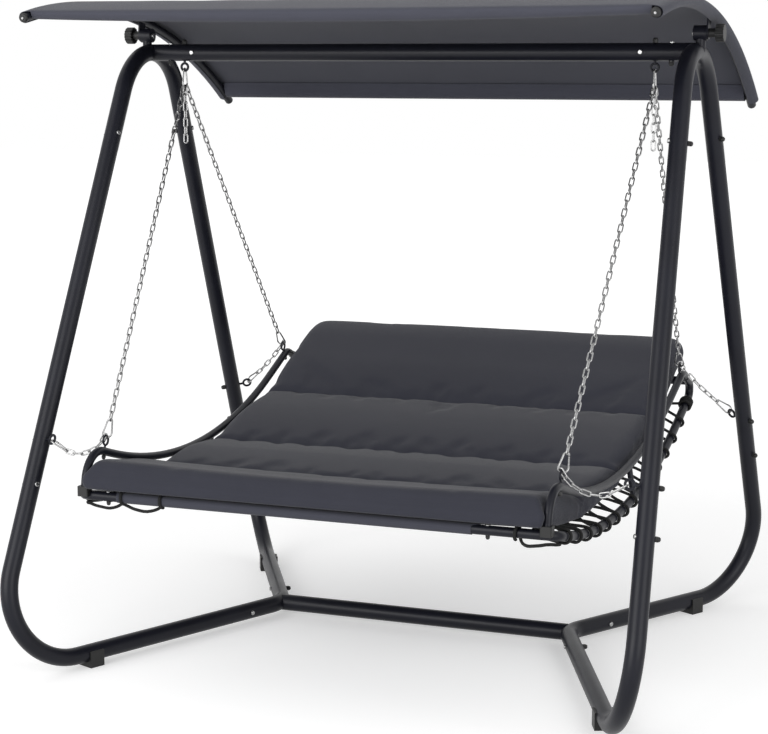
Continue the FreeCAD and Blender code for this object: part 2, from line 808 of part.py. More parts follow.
def sling_points(lift):
    """The corner points of the sling's middle line, raised by a lift, from front to rear."""
    rise = rail_r + sleeve_gap + sling_thickness / 2 + lift
    front = Vector(0, rail_front_y, rail_front_height)
    dip = Vector(0, rail_dip_y, rail_dip_height)
    back = Vector(0, rear_rail_place(1).y, rear_rail_place(1).z)
    front_normal = unit(across.cross(dip - front))
    back_normal = unit(across.cross(back - dip))
    middle = unit(front_normal + back_normal)
    dip = dip + middle * (rise / middle.dot(back_normal))
    return [front + front_normal * rise, dip, back + back_normal * rise]


def build_sling():
    """The sling with its two sleeves, and the lacing between its edges and the side rails."""
    points = sling_points(0)
    path = bent_wire(points, [rail_dip_radius])
    normal = unit((points[1] - points[0]).cross(across)) * (sling_thickness / 2)
    half = across * sling_half_width
    above = points[0] + normal
    below = points[0] - normal
    corners = [above + half, below + half, below - half, above - half]
    sheet = path.makePipe(Part.Face(Part.makePolygon(corners + corners[:1])))
    inner = rail_r + sleeve_gap
    front = Vector(0, rail_front_y, rail_front_height)
    back = Vector(0, rear_rail_place(1).y, rear_rail_place(1).z)
    left_end = front - across * left_sleeve_reach
    right_end = front + across * right_sleeve_reach
    front_sleeve = rod(left_end, right_end, inner + sling_thickness, inner)
    rear_sleeve = rod(back - half, back + half, inner + sling_thickness, inner)
    for side, reach in ((-1, left_sleeve_reach), (1, right_sleeve_reach)):
        sheet = sheet.cut(sling_corner(side, reach))
    save("seat_sling", fused([sheet, front_sleeve, rear_sleeve]))
    for side_name, side in sides.items():
        rail = bent_wire(rail_points(side)[1:4], rail_radii[1:2])
        turns = []
        for count in range(lacing_count):
            y = lacing_first_y + count * lacing_pitch
            turns.append(lacing_turn(point_at(rail, y), run_at(rail, y), point_at(path, y), side))
        save(side_name + "_bungee_lacing", turns)


def sling_corner(side, reach):
    """The block that takes a front corner out of the sling, beyond the end of its sleeve."""
    width = sling_half_width + cut_overrun - reach
    corner = Part.makeBox(width, rail_d + sling_corner_cut, beam_height)
    corner.translate(Vector(reach if side > 0 else -reach - width, rail_front_y - rail_d, 0))
    return corner


def lacing_turn(rail_point, rail_run, sling_point, side):
    """One turn of cord, square to the rail, from below the sling's edge over the rail and back."""
    cord_r = lacing_d / 2
    reach = rail_r + cord_r + sleeve_gap
    normal = across.cross(rail_run)
    centre = flip(rail_point, side)
    sling_rise = (sling_point - Vector(0, rail_point.y, rail_point.z)).dot(normal)
    drop = sling_thickness / 2 + cord_r + sleeve_gap
    upper = centre - across * (rail_x - sling_half_width) + normal * (sling_rise - drop)
    lower = upper - normal * (lacing_d + sleeve_gap)
    touches = []
    for start, sign in ((upper, 1), (lower, -1)):
        away = start - centre
        turn = Rotation(rail_run, sign * degrees(acos(reach / away.Length)))
        touches.append(centre + turn.multVec(unit(away)) * reach)
    far = centre - unit(touches[0] + touches[1] - centre * 2) * reach
    points = [flip(point, side) for point in (upper, touches[0], far, touches[1], lower)]
    edges = [
        Part.LineSegment(points[0], points[1]).toShape(),
        Part.Arc(points[1], points[2], points[3]).toShape(),
        Part.LineSegment(points[3], points[4]).toShape(),
    ]
    return Part.Wire(edges).makePipe(ring_face(points[0], points[1] - points[0], cord_r, 0))


def build_mattress():
    """Four quilted panels in one pad that lies along the sling."""
    front, dip, rear = sling_points(sling_thickness / 2 + mattress_lift)
    bend = rear + unit(rear - dip) * mattress_bend_reach
    tip = bend + Rotation(across, mattress_end_slope).multVec(rearward) * mattress_end_reach
    start = front - unit(dip - front) * mattress_front_reach
    path = bent_wire([start, dip, bend, tip], [rail_dip_radius, mattress_bend_radius])
    trail = path.discretize(Number=path_samples)
    panel = path.Length / mattress_panel_count
    seam_half = mattress_half_width - mattress_seam_inset
    seam = (mattress_seam, mattress_seam_side, seam_half)
    full = (mattress_crown, mattress_side, mattress_half_width)
    band = (full[0] * band_height_share, full[1] * band_height_share, mattress_half_width)
    edge = (full[0] - mattress_end_drop, full[1] - mattress_end_drop, mattress_half_width)
    stations = [(0, edge)]
    for count in range(mattress_panel_count):
        last = count == mattress_panel_count - 1
        start = count * panel
        stations.append((start + mattress_seam_band, band))
        stations += [(start + share * panel, full) for share in panel_station_shares]
        stations.append((start + panel - mattress_seam_band, band))
        stations.append((start + panel, edge if last else seam))
    sections = []
    for run, outline in stations:
        index = min(round(run / path.Length * (path_samples - 1)), path_samples - 2)
        tangent = unit(trail[index + 1] - trail[index])
        sections.append(mattress_section(trail[index], across.cross(tangent), *outline))
    save("mattress", Part.makeLoft(sections, True, True))


def mattress_section(foot, normal, crown, side_height, half_width):
    """One closed outline across the mattress."""
    half = across * half_width
    bulge = across * mattress_bulge
    right = foot + half
    left = foot - half
    rise = normal * side_height
    edges = [
        Part.LineSegment(left, right).toShape(),
        Part.Arc(right, right + bulge + rise / 2, right + rise).toShape(),
        Part.Arc(right + rise, foot + normal * crown, left + rise).toShape(),
        Part.Arc(left + rise, left - bulge + rise / 2, left).toShape(),
    ]
    return Part.Wire(edges)


def chain_link(start, finish, wide):
    """One link between two contact points, lying in the plane of its run and the wide direction."""
    run = unit(finish - start)
    wide = unit(wide - run * wide.dot(run)) * link_side
    crown = link_r + contact_gap / 2
    first = start - run * (crown - link_side)
    last = finish + run * (crown - link_side)
    edges = [
        Part.LineSegment(first + wide, last + wide).toShape(),
        Part.Arc(last + wide, last + run * link_side, last - wide).toShape(),
        Part.LineSegment(last - wide, first - wide).toShape(),
        Part.Arc(first - wide, first - run * link_side, first + wide).toShape(),
    ]
    return Part.Wire(edges).makePipe(ring_face(first + wide, run, link_r, 0))


def straight_chain(start, finish, wide, count):
    """Links in a straight run, each a quarter turn from the one before."""
    run = unit(finish - start)
    step = (finish - start) * (1 / count)
    planes = (wide, run.cross(wide))
    links = []
    for index in range(count):
        near = start + step * index
        links.append(chain_link(near, near + step, planes[index % 2]))
    return links


def carabiner(small, run, gate_side):
    """A pear-shaped hook and its gate; small is the narrow end's centre, run points to the wide end."""
    large = small + run * hook_reach
    lean = asin((hook_large_radius - hook_small_radius) / hook_reach)
    near = gate_side * cos(lean) - run * sin(lean)
    far = gate_side * -cos(lean) - run * sin(lean)
    slope = unit(large + near * hook_large_radius - small - near * hook_small_radius)
    nose = small + near * hook_small_radius + slope * hook_nose
    heel = large + near * hook_large_radius - slope * hook_heel
    points = [nose]
    points += [small + way * hook_small_radius for way in (near, run * -1, far)]
    points += [large + way * hook_large_radius for way in (far, run, near)]
    points.append(heel)
    edges = [
        Part.LineSegment(points[0], points[1]).toShape(),
        Part.Arc(points[1], points[2], points[3]).toShape(),
        Part.LineSegment(points[3], points[4]).toShape(),
        Part.Arc(points[4], points[5], points[6]).toShape(),
        Part.LineSegment(points[6], points[7]).toShape(),
    ]
    body = Part.Wire(edges).makePipe(ring_face(nose, slope, hook_r, 0))
    pivot = nose + slope * (gate_gap + gate_d / 2)
    gate = fused([rod(pivot, heel - slope * gate_gap, gate_d / 2), Part.makeSphere(gate_d / 2, pivot)])
    return body, gate, pivot, unit(gate_side.cross(slope))


def build_chains():
    """Four hanging chains with their spare tails, and the carabiners at both ends."""
    hooks = []
    for side_name, side in sides.items():
        links = []
        eye = Vector(side * beam_eye_x, 0, swing_axis_height)
        small = eye + up * (eye_wire_d / 2 + contact_gap - hook_small_radius + hook_r)
        body, gate, pivot, axis = carabiner(small, up * -1, rearward * -1)
        hooks.append(body)
        save(side_name + "_top_gate", gate)
        gate_joints[side_name + "_top_gate"] = (pivot, axis)
        large = small - up * hook_reach
        inner = hook_large_radius - hook_r - contact_gap / 2
        tail = large - up * inner
        links += straight_chain(tail, tail - up * (tail_links * link_pitch), across, tail_links)
        for end_name, end in ends.items():
            ring = seat_eye(side, end)
            start = large + unit(Vector(0, ring.y - large.y, ring.z - large.z)) * inner
            run = unit(ring - start)
            wire_gap = seat_eye_ring_radius - seat_eye_wire_d / 2 - contact_gap - hook_r
            wide_end = ring - run * (wire_gap + hook_large_radius)
            narrow_end = wide_end - run * hook_reach
            finish = narrow_end - run * (hook_small_radius - hook_r - contact_gap / 2)
            count = 2 * round((finish - start).Length / link_pitch / 2)
            links += straight_chain(start, finish, unit(across - run * run.x), count)
            body, gate, pivot, axis = carabiner(narrow_end, run, unit(across - run * run.x) * side)
            hooks.append(body)
            save(side_name + "_" + end_name + "_gate", gate)
            gate_joints[side_name + "_" + end_name + "_gate"] = (pivot, axis)
        save(side_name + "_chains", links)
    save("carabiners", hooks)


def arc_through(start, finish, sag):
    """Centre, axis, angle and radius of the arc that hangs between two points."""
    circle = Part.Circle(start, (start + finish) / 2 - up * sag, finish)
    axis = unit((start - circle.Center).cross(finish - circle.Center))
    angle = 2 * asin((finish - start).Length / 2 / circle.Radius)
    return circle.Center, axis, angle, circle.Radius


def stay(side, end, sag):
    """The links and the hook of one stabiliser chain, from a seat eye to its leg eye."""
    ring = seat_eye(side, end)
    anchor = leg_eye(side, end)
    normal = leg_eye_normal(side, end)
    hook_end = hook_large_radius - eye_wire_d / 2 - contact_gap - hook_r
    hook_length = hook_small_radius + hook_reach + hook_end
    hook_span = hook_length
    crown = link_side - link_r - contact_gap / 2
    start_run = unit(anchor - ring)
    finish_run = start_run
    hold = unit(up + rearward * (end * stay_hold_lean))
    for _ in range(stay_rounds):
        slant = start_run.cross(across.cross(hold)).Length
        back = seat_eye_wire_d / 2 / slant + contact_gap / 2 + stay_eye_play
        start = ring + hold * seat_eye_ring_radius - start_run * back
        grip = unit(normal * normal.dot(finish_run) - finish_run)
        finish = anchor + grip * leg_eye_ring_radius
        centre, axis, angle, radius = arc_through(start, finish, sag)
        hook_angle = 2 * asin(hook_span / 2 / radius)
        count = round((angle - hook_angle) * radius / link_pitch)
        step = (angle - hook_angle) / count
        turns = [Rotation(axis, degrees(step * index)) for index in range(count + 1)]
        trail = [centre + turn.multVec(start - centre) for turn in turns]
        start_run = unit(trail[1] - trail[0])
        bight = trail[-1] - unit(trail[-1] - trail[-2]) * crown
        finish_run = unit(finish - bight)
        hook_span += hook_length - (finish - bight).Length
    tangent = unit(normal.cross(grip))
    last = tangent if count % 2 else tangent.cross(finish_run)
    last = last if last.dot(hold) > 0 else last * -1
    links = []
    for index in range(count):
        run = unit(trail[index + 1] - trail[index])
        share = index / (count - 1)
        wide = hold * (1 - share) + last * share
        wide = unit(wide - run * wide.dot(run))
        links.append(chain_link(trail[index], trail[index + 1], run.cross(wide) if index % 2 else wide))
    small = bight + finish_run * hook_small_radius
    body, gate = carabiner(small, finish_run, unit(tangent.cross(finish_run)))[:2]
    return links, [body, gate]


def build_stabilisers():
    """The four short chains that keep the lounger from swinging far."""
    hooks = []
    for end_name, end in ends.items():
        links = []
        for side in sides.values():
            side_links, side_hooks = stay(side, end, stay_sags[end])
            links += side_links
            hooks += side_hooks
        save(end_name + "_stabiliser_chains", links)
    save("stabiliser_carabiners", hooks)


os.makedirs("parts", exist_ok=True)
nodes = {}
gate_joints = {}
build_stand()
build_stand_fasteners()
build_canopy()
build_tilt_clamps()
build_lounger_frame()
build_sling()
build_mattress()
build_chains()
build_stabilisers()
for name, (pivot, axis) in gate_joints.items():
    print("gate", name, pivot, axis)
print(len(nodes), "nodes")
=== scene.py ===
"""Studio scene of a hanging lounger bed under a tilting canopy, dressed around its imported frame."""

import json
import logging
import math
from dataclasses import dataclass
from enum import Enum

import bpy
import numpy as np
from mathutils import Matrix, Vector

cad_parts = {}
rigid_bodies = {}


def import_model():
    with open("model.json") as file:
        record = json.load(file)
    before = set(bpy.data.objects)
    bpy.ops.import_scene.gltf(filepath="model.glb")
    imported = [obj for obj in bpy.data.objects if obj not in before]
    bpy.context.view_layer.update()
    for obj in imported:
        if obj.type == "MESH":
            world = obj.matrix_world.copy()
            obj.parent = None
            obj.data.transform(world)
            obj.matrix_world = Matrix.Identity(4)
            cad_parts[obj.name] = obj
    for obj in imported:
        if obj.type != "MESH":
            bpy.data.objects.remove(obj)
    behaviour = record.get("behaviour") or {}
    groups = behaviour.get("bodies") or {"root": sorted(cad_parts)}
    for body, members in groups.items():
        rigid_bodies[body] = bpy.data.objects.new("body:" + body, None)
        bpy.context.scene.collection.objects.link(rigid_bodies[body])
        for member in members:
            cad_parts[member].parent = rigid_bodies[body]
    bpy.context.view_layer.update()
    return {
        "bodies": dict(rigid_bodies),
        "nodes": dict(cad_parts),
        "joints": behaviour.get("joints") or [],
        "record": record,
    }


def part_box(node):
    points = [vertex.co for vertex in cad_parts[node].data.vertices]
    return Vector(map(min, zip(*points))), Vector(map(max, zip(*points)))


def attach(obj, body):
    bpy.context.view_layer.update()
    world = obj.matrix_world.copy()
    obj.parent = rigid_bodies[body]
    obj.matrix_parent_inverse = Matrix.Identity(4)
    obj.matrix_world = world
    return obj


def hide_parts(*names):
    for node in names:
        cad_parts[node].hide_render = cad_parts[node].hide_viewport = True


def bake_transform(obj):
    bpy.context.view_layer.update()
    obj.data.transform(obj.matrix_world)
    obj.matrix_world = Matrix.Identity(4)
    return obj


LOG = logging.getLogger("lounger")
IMAGE_WIDTH = 768.0
IMAGE_HEIGHT = 734.0
BAND_SCALE = math.tau / 20.0
TINY = 1e-9
SHARP_EDGE = 60.0


class Side(Enum):
    """The two sides of the swing, as seen from the front."""

    LEFT = -1
    RIGHT = 1

    @property
    def word(self) -> str:
        """The side's name as the frame's nodes spell it."""
        return self.name.lower()


class End(Enum):
    """The two ends of the lounger."""

    FRONT = "front"
    REAR = "rear"


class Weave(Enum):
    """How the threads of a cloth cross."""

    PLAIN = "plain"
    MESH = "mesh"


class Value:
    """A shader socket whose sums and products add Math nodes."""

    def __init__(self, shader: "Shader", socket: bpy.types.NodeSocket) -> None:
        """Keep the socket and the shader it belongs to."""
        self.shader = shader
        self.socket = socket

    def __add__(self, other: "Value | float") -> "Value":
        """The sum."""
        return self.shader.math("ADD", self, other)

    def __radd__(self, other: float) -> "Value":
        """The sum, from the right."""
        return self.shader.math("ADD", other, self)

    def __sub__(self, other: "Value | float") -> "Value":
        """The difference."""
        return self.shader.math("SUBTRACT", self, other)

    def __rsub__(self, other: float) -> "Value":
        """The difference, from the right."""
        return self.shader.math("SUBTRACT", other, self)

    def __mul__(self, other: "Value | float") -> "Value":
        """The product."""
        return self.shader.math("MULTIPLY", self, other)

    def __rmul__(self, other: float) -> "Value":
        """The product, from the right."""
        return self.shader.math("MULTIPLY", other, self)

    def highest(self, other: "Value | float") -> "Value":
        """The larger of the two."""
        return self.shader.math("MAXIMUM", self, other)


class Shader:
    """A node tree under construction, of a material or of the sky."""

    def __init__(self, owner: bpy.types.Material | bpy.types.World, output: str) -> None:
        """Start the owner's tree with its output node and nothing else."""
        self.owner = owner
        self.owner.use_nodes = True
        self.tree = self.owner.node_tree
        self.tree.nodes.clear()
        self.output = self.node(output)

    @classmethod
    def named(cls, name: str) -> "Shader":
        """Start a new material."""
        return cls(bpy.data.materials.new(name), "ShaderNodeOutputMaterial")

    def node(self, kind: str, settings: dict | None = None, inputs: dict | None = None) -> bpy.types.Node:
        """Add any node.

        Args:
            kind: the node's type.
            settings: its own settings; a ramp's stops go under "stops".
            inputs: values or sockets for its inputs, by name or number.

        Returns:
            The new node.
        """
        made = self.tree.nodes.new(kind)
        for key, value in (settings or {}).items():
            if key == "stops":
                self.set_stops(made.color_ramp, value)
            else:
                setattr(made, key, value)
        for key, value in (inputs or {}).items():
            self.feed(made.inputs[key], value)
        return made

    def set_stops(self, ramp: bpy.types.ColorRamp, stops: list) -> None:
        """Give a colour ramp its stops.

        Args:
            ramp: the ramp.
            stops: pairs of a position and a colour.
        """
        while len(ramp.elements) < len(stops):
            ramp.elements.new(1.0)
        for element, (position, colour) in zip(ramp.elements, stops):
            element.position = position
            element.color = colour

    def feed(self, socket: bpy.types.NodeSocket, value: object) -> None:
        """Link or set a socket.

        Args:
            socket: the input.
            value: a Value or a socket to link, or a plain value to set.
        """
        if isinstance(value, Value):
            value = value.socket
        if isinstance(value, bpy.types.NodeSocket):
            self.tree.links.new(value, socket)
        else:
            socket.default_value = value

    def math(self, operation: str, first: "Value | float", second: "Value | float") -> Value:
        """Add one Math node and wrap its result."""
        made = self.node("ShaderNodeMath", {"operation": operation}, {0: first, 1: second})
        return Value(self, made.outputs[0])

    def place(self, scale: tuple[float, float, float], uv: bool = False) -> bpy.types.NodeSocket:
        """Scaled surface coordinates.

        Args:
            scale: how often a pattern repeats per metre, on each axis.
            uv: read the piece's own cloth map in place of object coordinates.

        Returns:
            The vector socket.
        """
        source = self.node("ShaderNodeTexCoord").outputs["UV" if uv else "Object"]
        return self.node("ShaderNodeMapping", inputs={"Vector": source, "Scale": scale}).outputs[0]

    def noise(self, place: bpy.types.NodeSocket, detail: float = 3.0) -> Value:
        """A noise that is about 0.5 on average."""
        made = self.node("ShaderNodeTexNoise", inputs={"Vector": place, "Scale": 1.0, "Detail": detail})
        return Value(self, made.outputs["Fac"])

    def wave(self, place: bpy.types.NodeSocket, direction: str) -> Value:
        """Straight bands between 0 and 1, one per unit along the direction's axis."""
        settings = {"wave_type": "BANDS", "bands_direction": direction, "wave_profile": "SIN"}
        made = self.node("ShaderNodeTexWave", settings, {"Vector": place, "Scale": BAND_SCALE})
        return Value(self, made.outputs["Fac"])

    def tint(self, share: Value, dark: tuple, light: tuple) -> bpy.types.NodeSocket:
        """A colour between two, by a share from 0 to 1."""
        settings = {"data_type": "RGBA", "clamp_factor": True}
        return self.node("ShaderNodeMix", settings, {0: share, 6: dark, 7: light}).outputs[2]

    def bump(self, height: Value, distance: float, strength: float) -> bpy.types.NodeSocket:
        """A normal from a height."""
        inputs = {"Height": height, "Distance": distance, "Strength": strength}
        return self.node("ShaderNodeBump", inputs=inputs).outputs[0]

    def seen(self) -> Value:
        """Tell what is looked at from scattered light.

        Returns:
            1 for what the eye meets directly, in a mirror or through glass, and 0 for the rest.
        """
        rays = self.node("ShaderNodeLightPath")
        names = ("Is Camera Ray", "Is Glossy Ray", "Is Transmission Ray")
        direct, mirrored, through = (Value(self, rays.outputs[name]) for name in names)
        return direct.highest(mirrored).highest(through)

    def surface(self, inputs: dict) -> bpy.types.Material:
        """Finish the material with one surface shader."""
        made = self.node("ShaderNodeBsdfPrincipled", inputs=inputs)
        return self.finish(made.outputs[0])

    def finish(self, result: bpy.types.NodeSocket) -> bpy.types.Material | bpy.types.World:
        """Link the result to the output."""
        self.feed(self.output.inputs["Surface"], result)
        return self.owner


def grey(level: float, cool: float = 0.0) -> tuple[float, float, float, float]:
    """A near-neutral colour, bluer by the share cool and less red by a tenth of it."""
    return (level * (1 - 0.1 * cool), level, level * (1 + cool), 1.0)


@dataclass(frozen=True)
class HardFinish:
    """Paint, plating or moulded plastic: a clouded colour under a fine grain."""

    level: float
    dark: float
    light: float
    rough: float
    cloud_rough: float
    grain_rough: float
    cloud_per_metre: float
    grain_per_metre: float
    grain_detail: float
    grain_depth: float
    grain_strength: float
    cool: float = 0.0
    specular: float = 0.5
    metallic: float = 0.0

    def make(self, name: str) -> bpy.types.Material:
        """Make the material.

        Args:
            name: its name.

        Returns:
            The material.
        """
        shader = Shader.named(name)
        cloud = shader.noise(shader.place((self.cloud_per_metre,) * 3))
        grain = shader.noise(shader.place((self.grain_per_metre,) * 3), self.grain_detail)
        dark, light = (grey(self.level * share, self.cool) for share in (self.dark, self.light))
        return shader.surface({
            "Base Color": shader.tint(cloud, dark, light),
            "Metallic": self.metallic,
            "Roughness": self.rough + cloud * self.cloud_rough + grain * self.grain_rough,
            "Specular IOR Level": self.specular,
            "Normal": shader.bump(grain, self.grain_depth, self.grain_strength),
        })


POWDER_COAT = HardFinish(level=0.0085, dark=0.65, light=1.35, rough=0.29, cloud_rough=0.10, grain_rough=0.06,
                         cloud_per_metre=9.0, grain_per_metre=900.0, grain_detail=1.0,
                         grain_depth=0.0004, grain_strength=0.25, cool=0.55, specular=0.20)
ZINC_PLATE = HardFinish(level=0.40, dark=0.60, light=1.25, rough=0.18, cloud_rough=0.14, grain_rough=0.06,
                        cloud_per_metre=120.0, grain_per_metre=700.0, grain_detail=2.0,
                        grain_depth=0.0003, grain_strength=0.20, metallic=1.0)
MOULDING = HardFinish(level=0.009, dark=0.75, light=1.30, rough=0.41, cloud_rough=0.0, grain_rough=0.12,
                      cloud_per_metre=30.0, grain_per_metre=1600.0, grain_detail=1.0,
                      grain_depth=0.0003, grain_strength=0.35, specular=0.35)


@dataclass(frozen=True)
class Cloth:
    """Woven polyester, with uneven threads along its width."""

    level: float
    cool: float
    threads_per_metre: float
    weave: Weave
    dark: float = 0.3
    light: float = 1.7
    slub_share: float = 0.16
    cloud_share: float = 0.10
    thread_share: float = 0.20
    rough: float = 0.82
    slub_rough: float = 0.08
    sheen: float = 0.12
    sheen_rough: float = 0.45
    specular: float = 0.18
    slub_along: float = 5.0
    slub_across: float = 420.0
    cloud_per_metre: float = 5.0
    slub_relief: float = 0.5
    thread_depth: float = 0.0006
    thread_strength: float = 0.35

    def make(self, name: str) -> bpy.types.Material:
        """Make the material.

        Args:
            name: its name.

        Returns:
            The material.
        """
        shader = Shader.named(name)
        threads = shader.place((self.threads_per_metre, self.threads_per_metre, 1.0), True)
        warp = shader.wave(threads, "X")
        weft = shader.wave(threads, "Y")
        slub = shader.noise(shader.place((self.slub_along, self.slub_across, 1.0), True), 2.0)
        cloud = shader.noise(shader.place((self.cloud_per_metre,) * 3), 4.0)
        crossing = warp.highest(weft) if self.weave is Weave.MESH else warp * weft
        share = slub * self.slub_share + cloud * self.cloud_share + crossing * self.thread_share
        middle = 0.5 * (self.slub_share + self.cloud_share + self.thread_share)
        dark, light = (grey(self.level * part, self.cool) for part in (self.dark, self.light))
        return shader.surface({
            "Base Color": shader.tint(share - middle + 0.5, dark, light),
            "Roughness": self.rough + slub * self.slub_rough,
            "Sheen Weight": self.sheen,
            "Sheen Roughness": self.sheen_rough,
            "Specular IOR Level": self.specular,
            "Normal": shader.bump(crossing + slub * self.slub_relief, self.thread_depth,
                                  self.thread_strength),
        })


@dataclass(frozen=True)
class BraidedElastic:
    """Black braided cover of an elastic cord."""

    level: float = 0.008
    dark: float = 0.6
    light: float = 1.8
    plait_per_metre: float = 520.0
    plait_share: float = 0.6
    fuzz_share: float = 0.4
    rough: float = 0.72
    fuzz_rough: float = 0.14
    specular: float = 0.25
    plait_depth: float = 0.0006
    plait_strength: float = 0.5

    def make(self, name: str) -> bpy.types.Material:
        """Make the material.

        Args:
            name: its name.

        Returns:
            The material.
        """
        shader = Shader.named(name)
        place = shader.place((self.plait_per_metre,) * 3)
        plait = shader.wave(place, "DIAGONAL")
        fuzz = shader.noise(place, 2.0)
        share = plait * self.plait_share + fuzz * self.fuzz_share
        return shader.surface({
            "Base Color": shader.tint(share, grey(self.level * self.dark), grey(self.level * self.light)),
            "Roughness": self.rough + fuzz * self.fuzz_rough,
            "Specular IOR Level": self.specular,
            "Normal": shader.bump(plait, self.plait_depth, self.plait_strength),
        })


@dataclass(frozen=True)
class StudioPaper:
    """Pale floor paper that photographs white, keeps a soft shadow and fades out far away."""

    level: float = 0.80
    near_lift: float = 0.35
    far_lift: float = 0.66
    fade: float = 9.0

    def make(self, name: str) -> bpy.types.Material:
        """Make the material.

        Args:
            name: its name.

        Returns:
            The material.
        """
        shader = Shader.named(name)
        place = shader.place((1 / self.fade,) * 3)
        near = shader.node("ShaderNodeTexGradient", {"gradient_type": "SPHERICAL"}, {"Vector": place})
        lift = shader.tint(Value(shader, near.outputs["Fac"]), grey(self.far_lift), grey(self.near_lift))
        matt = shader.node("ShaderNodeBsdfDiffuse", inputs={"Color": grey(self.level)})
        glow = shader.node("ShaderNodeEmission", inputs={"Color": lift, "Strength": shader.seen()})
        both = shader.node("ShaderNodeAddShader", inputs={0: matt.outputs[0], 1: glow.outputs[0]})
        return shader.finish(both.outputs[0])


def only(piece: bpy.types.Object) -> None:
    """Select one object and nothing else."""
    bpy.ops.object.select_all(action="DESELECT")
    piece.select_set(True)
    bpy.context.view_layer.objects.active = piece


def apply_modifier(piece: bpy.types.Object, kind: str, **settings: object) -> None:
    """Add a modifier and apply it.

    Args:
        piece: the object.
        kind: the modifier's type.
        settings: the modifier's settings, by name.
    """
    only(piece)
    made = piece.modifiers.new(kind.lower(), kind)
    for key, value in settings.items():
        setattr(made, key, value)
    bpy.ops.object.modifier_apply(modifier=made.name)


def smooth(piece: bpy.types.Object, degrees: float = SHARP_EDGE) -> None:
    """Shade a piece smooth but for edges sharper than an angle."""
    only(piece)
    bpy.ops.object.shade_smooth_by_angle(angle=math.radians(degrees))


def cloth_mesh(name: str, points: list, faces: list, flat: list) -> bpy.types.Object:
    """A mesh with a cloth map in metres.

    Args:
        name: the piece's name.
        points: its points.
        faces: rings of point numbers.
        flat: cloth coordinates of the faces' corners, face after face.

    Returns:
        The new object, at the origin.
    """
    mesh = bpy.data.meshes.new(name)
    mesh.from_pydata(points, [], faces)
    layer = mesh.uv_layers.new(name="cloth")
    for corner, place in zip(layer.data, flat):
        corner.uv = place
    mesh.update()
    piece = bpy.data.objects.new(name, mesh)
    bpy.context.scene.collection.objects.link(piece)
    return piece


def sheet_mesh(name: str, rows: np.ndarray, maps: np.ndarray, keep: np.ndarray) -> bpy.types.Object:
    """A mesh from a grid of points.

    Args:
        name: the piece's name.
        rows: points, rows by columns by three.
        maps: cloth coordinates, rows by columns by two.
        keep: which cells of the grid are cloth.

    Returns:
        The new object, at the origin.
    """
    count_rows, count_columns = rows.shape[:2]
    faces = []
    for row in range(count_rows - 1):
        for column in range(count_columns - 1):
            if keep[row, column]:
                start = row * count_columns + column
                faces.append((start, start + 1, start + count_columns + 1, start + count_columns))
    used = sorted({index for face in faces for index in face})
    order = {index: count for count, index in enumerate(used)}
    points = [tuple(point) for point in rows.reshape(-1, 3)[used]]
    places = maps.reshape(-1, 2)
    flat = [tuple(places[index]) for face in faces for index in face]
    return cloth_mesh(name, points, [tuple(order[index] for index in face) for face in faces], flat)


def thicken(piece: bpy.types.Object, thickness: float) -> None:
    """Round a sheet's grid off and give it its thickness.

    Args:
        piece: the sheet.
        thickness: the cloth's thickness, half to each side.
    """
    apply_modifier(piece, "SUBSURF", levels=1, render_levels=1)
    apply_modifier(piece, "SOLIDIFY", thickness=thickness, offset=0.0)
    smooth(piece)


def clipped(share: float) -> float:
    """The share, kept between 0 and 1."""
    return min(1.0, max(0.0, share))


def unit(vector: np.ndarray) -> np.ndarray:
    """The vector at length one."""
    return vector / np.linalg.norm(vector)


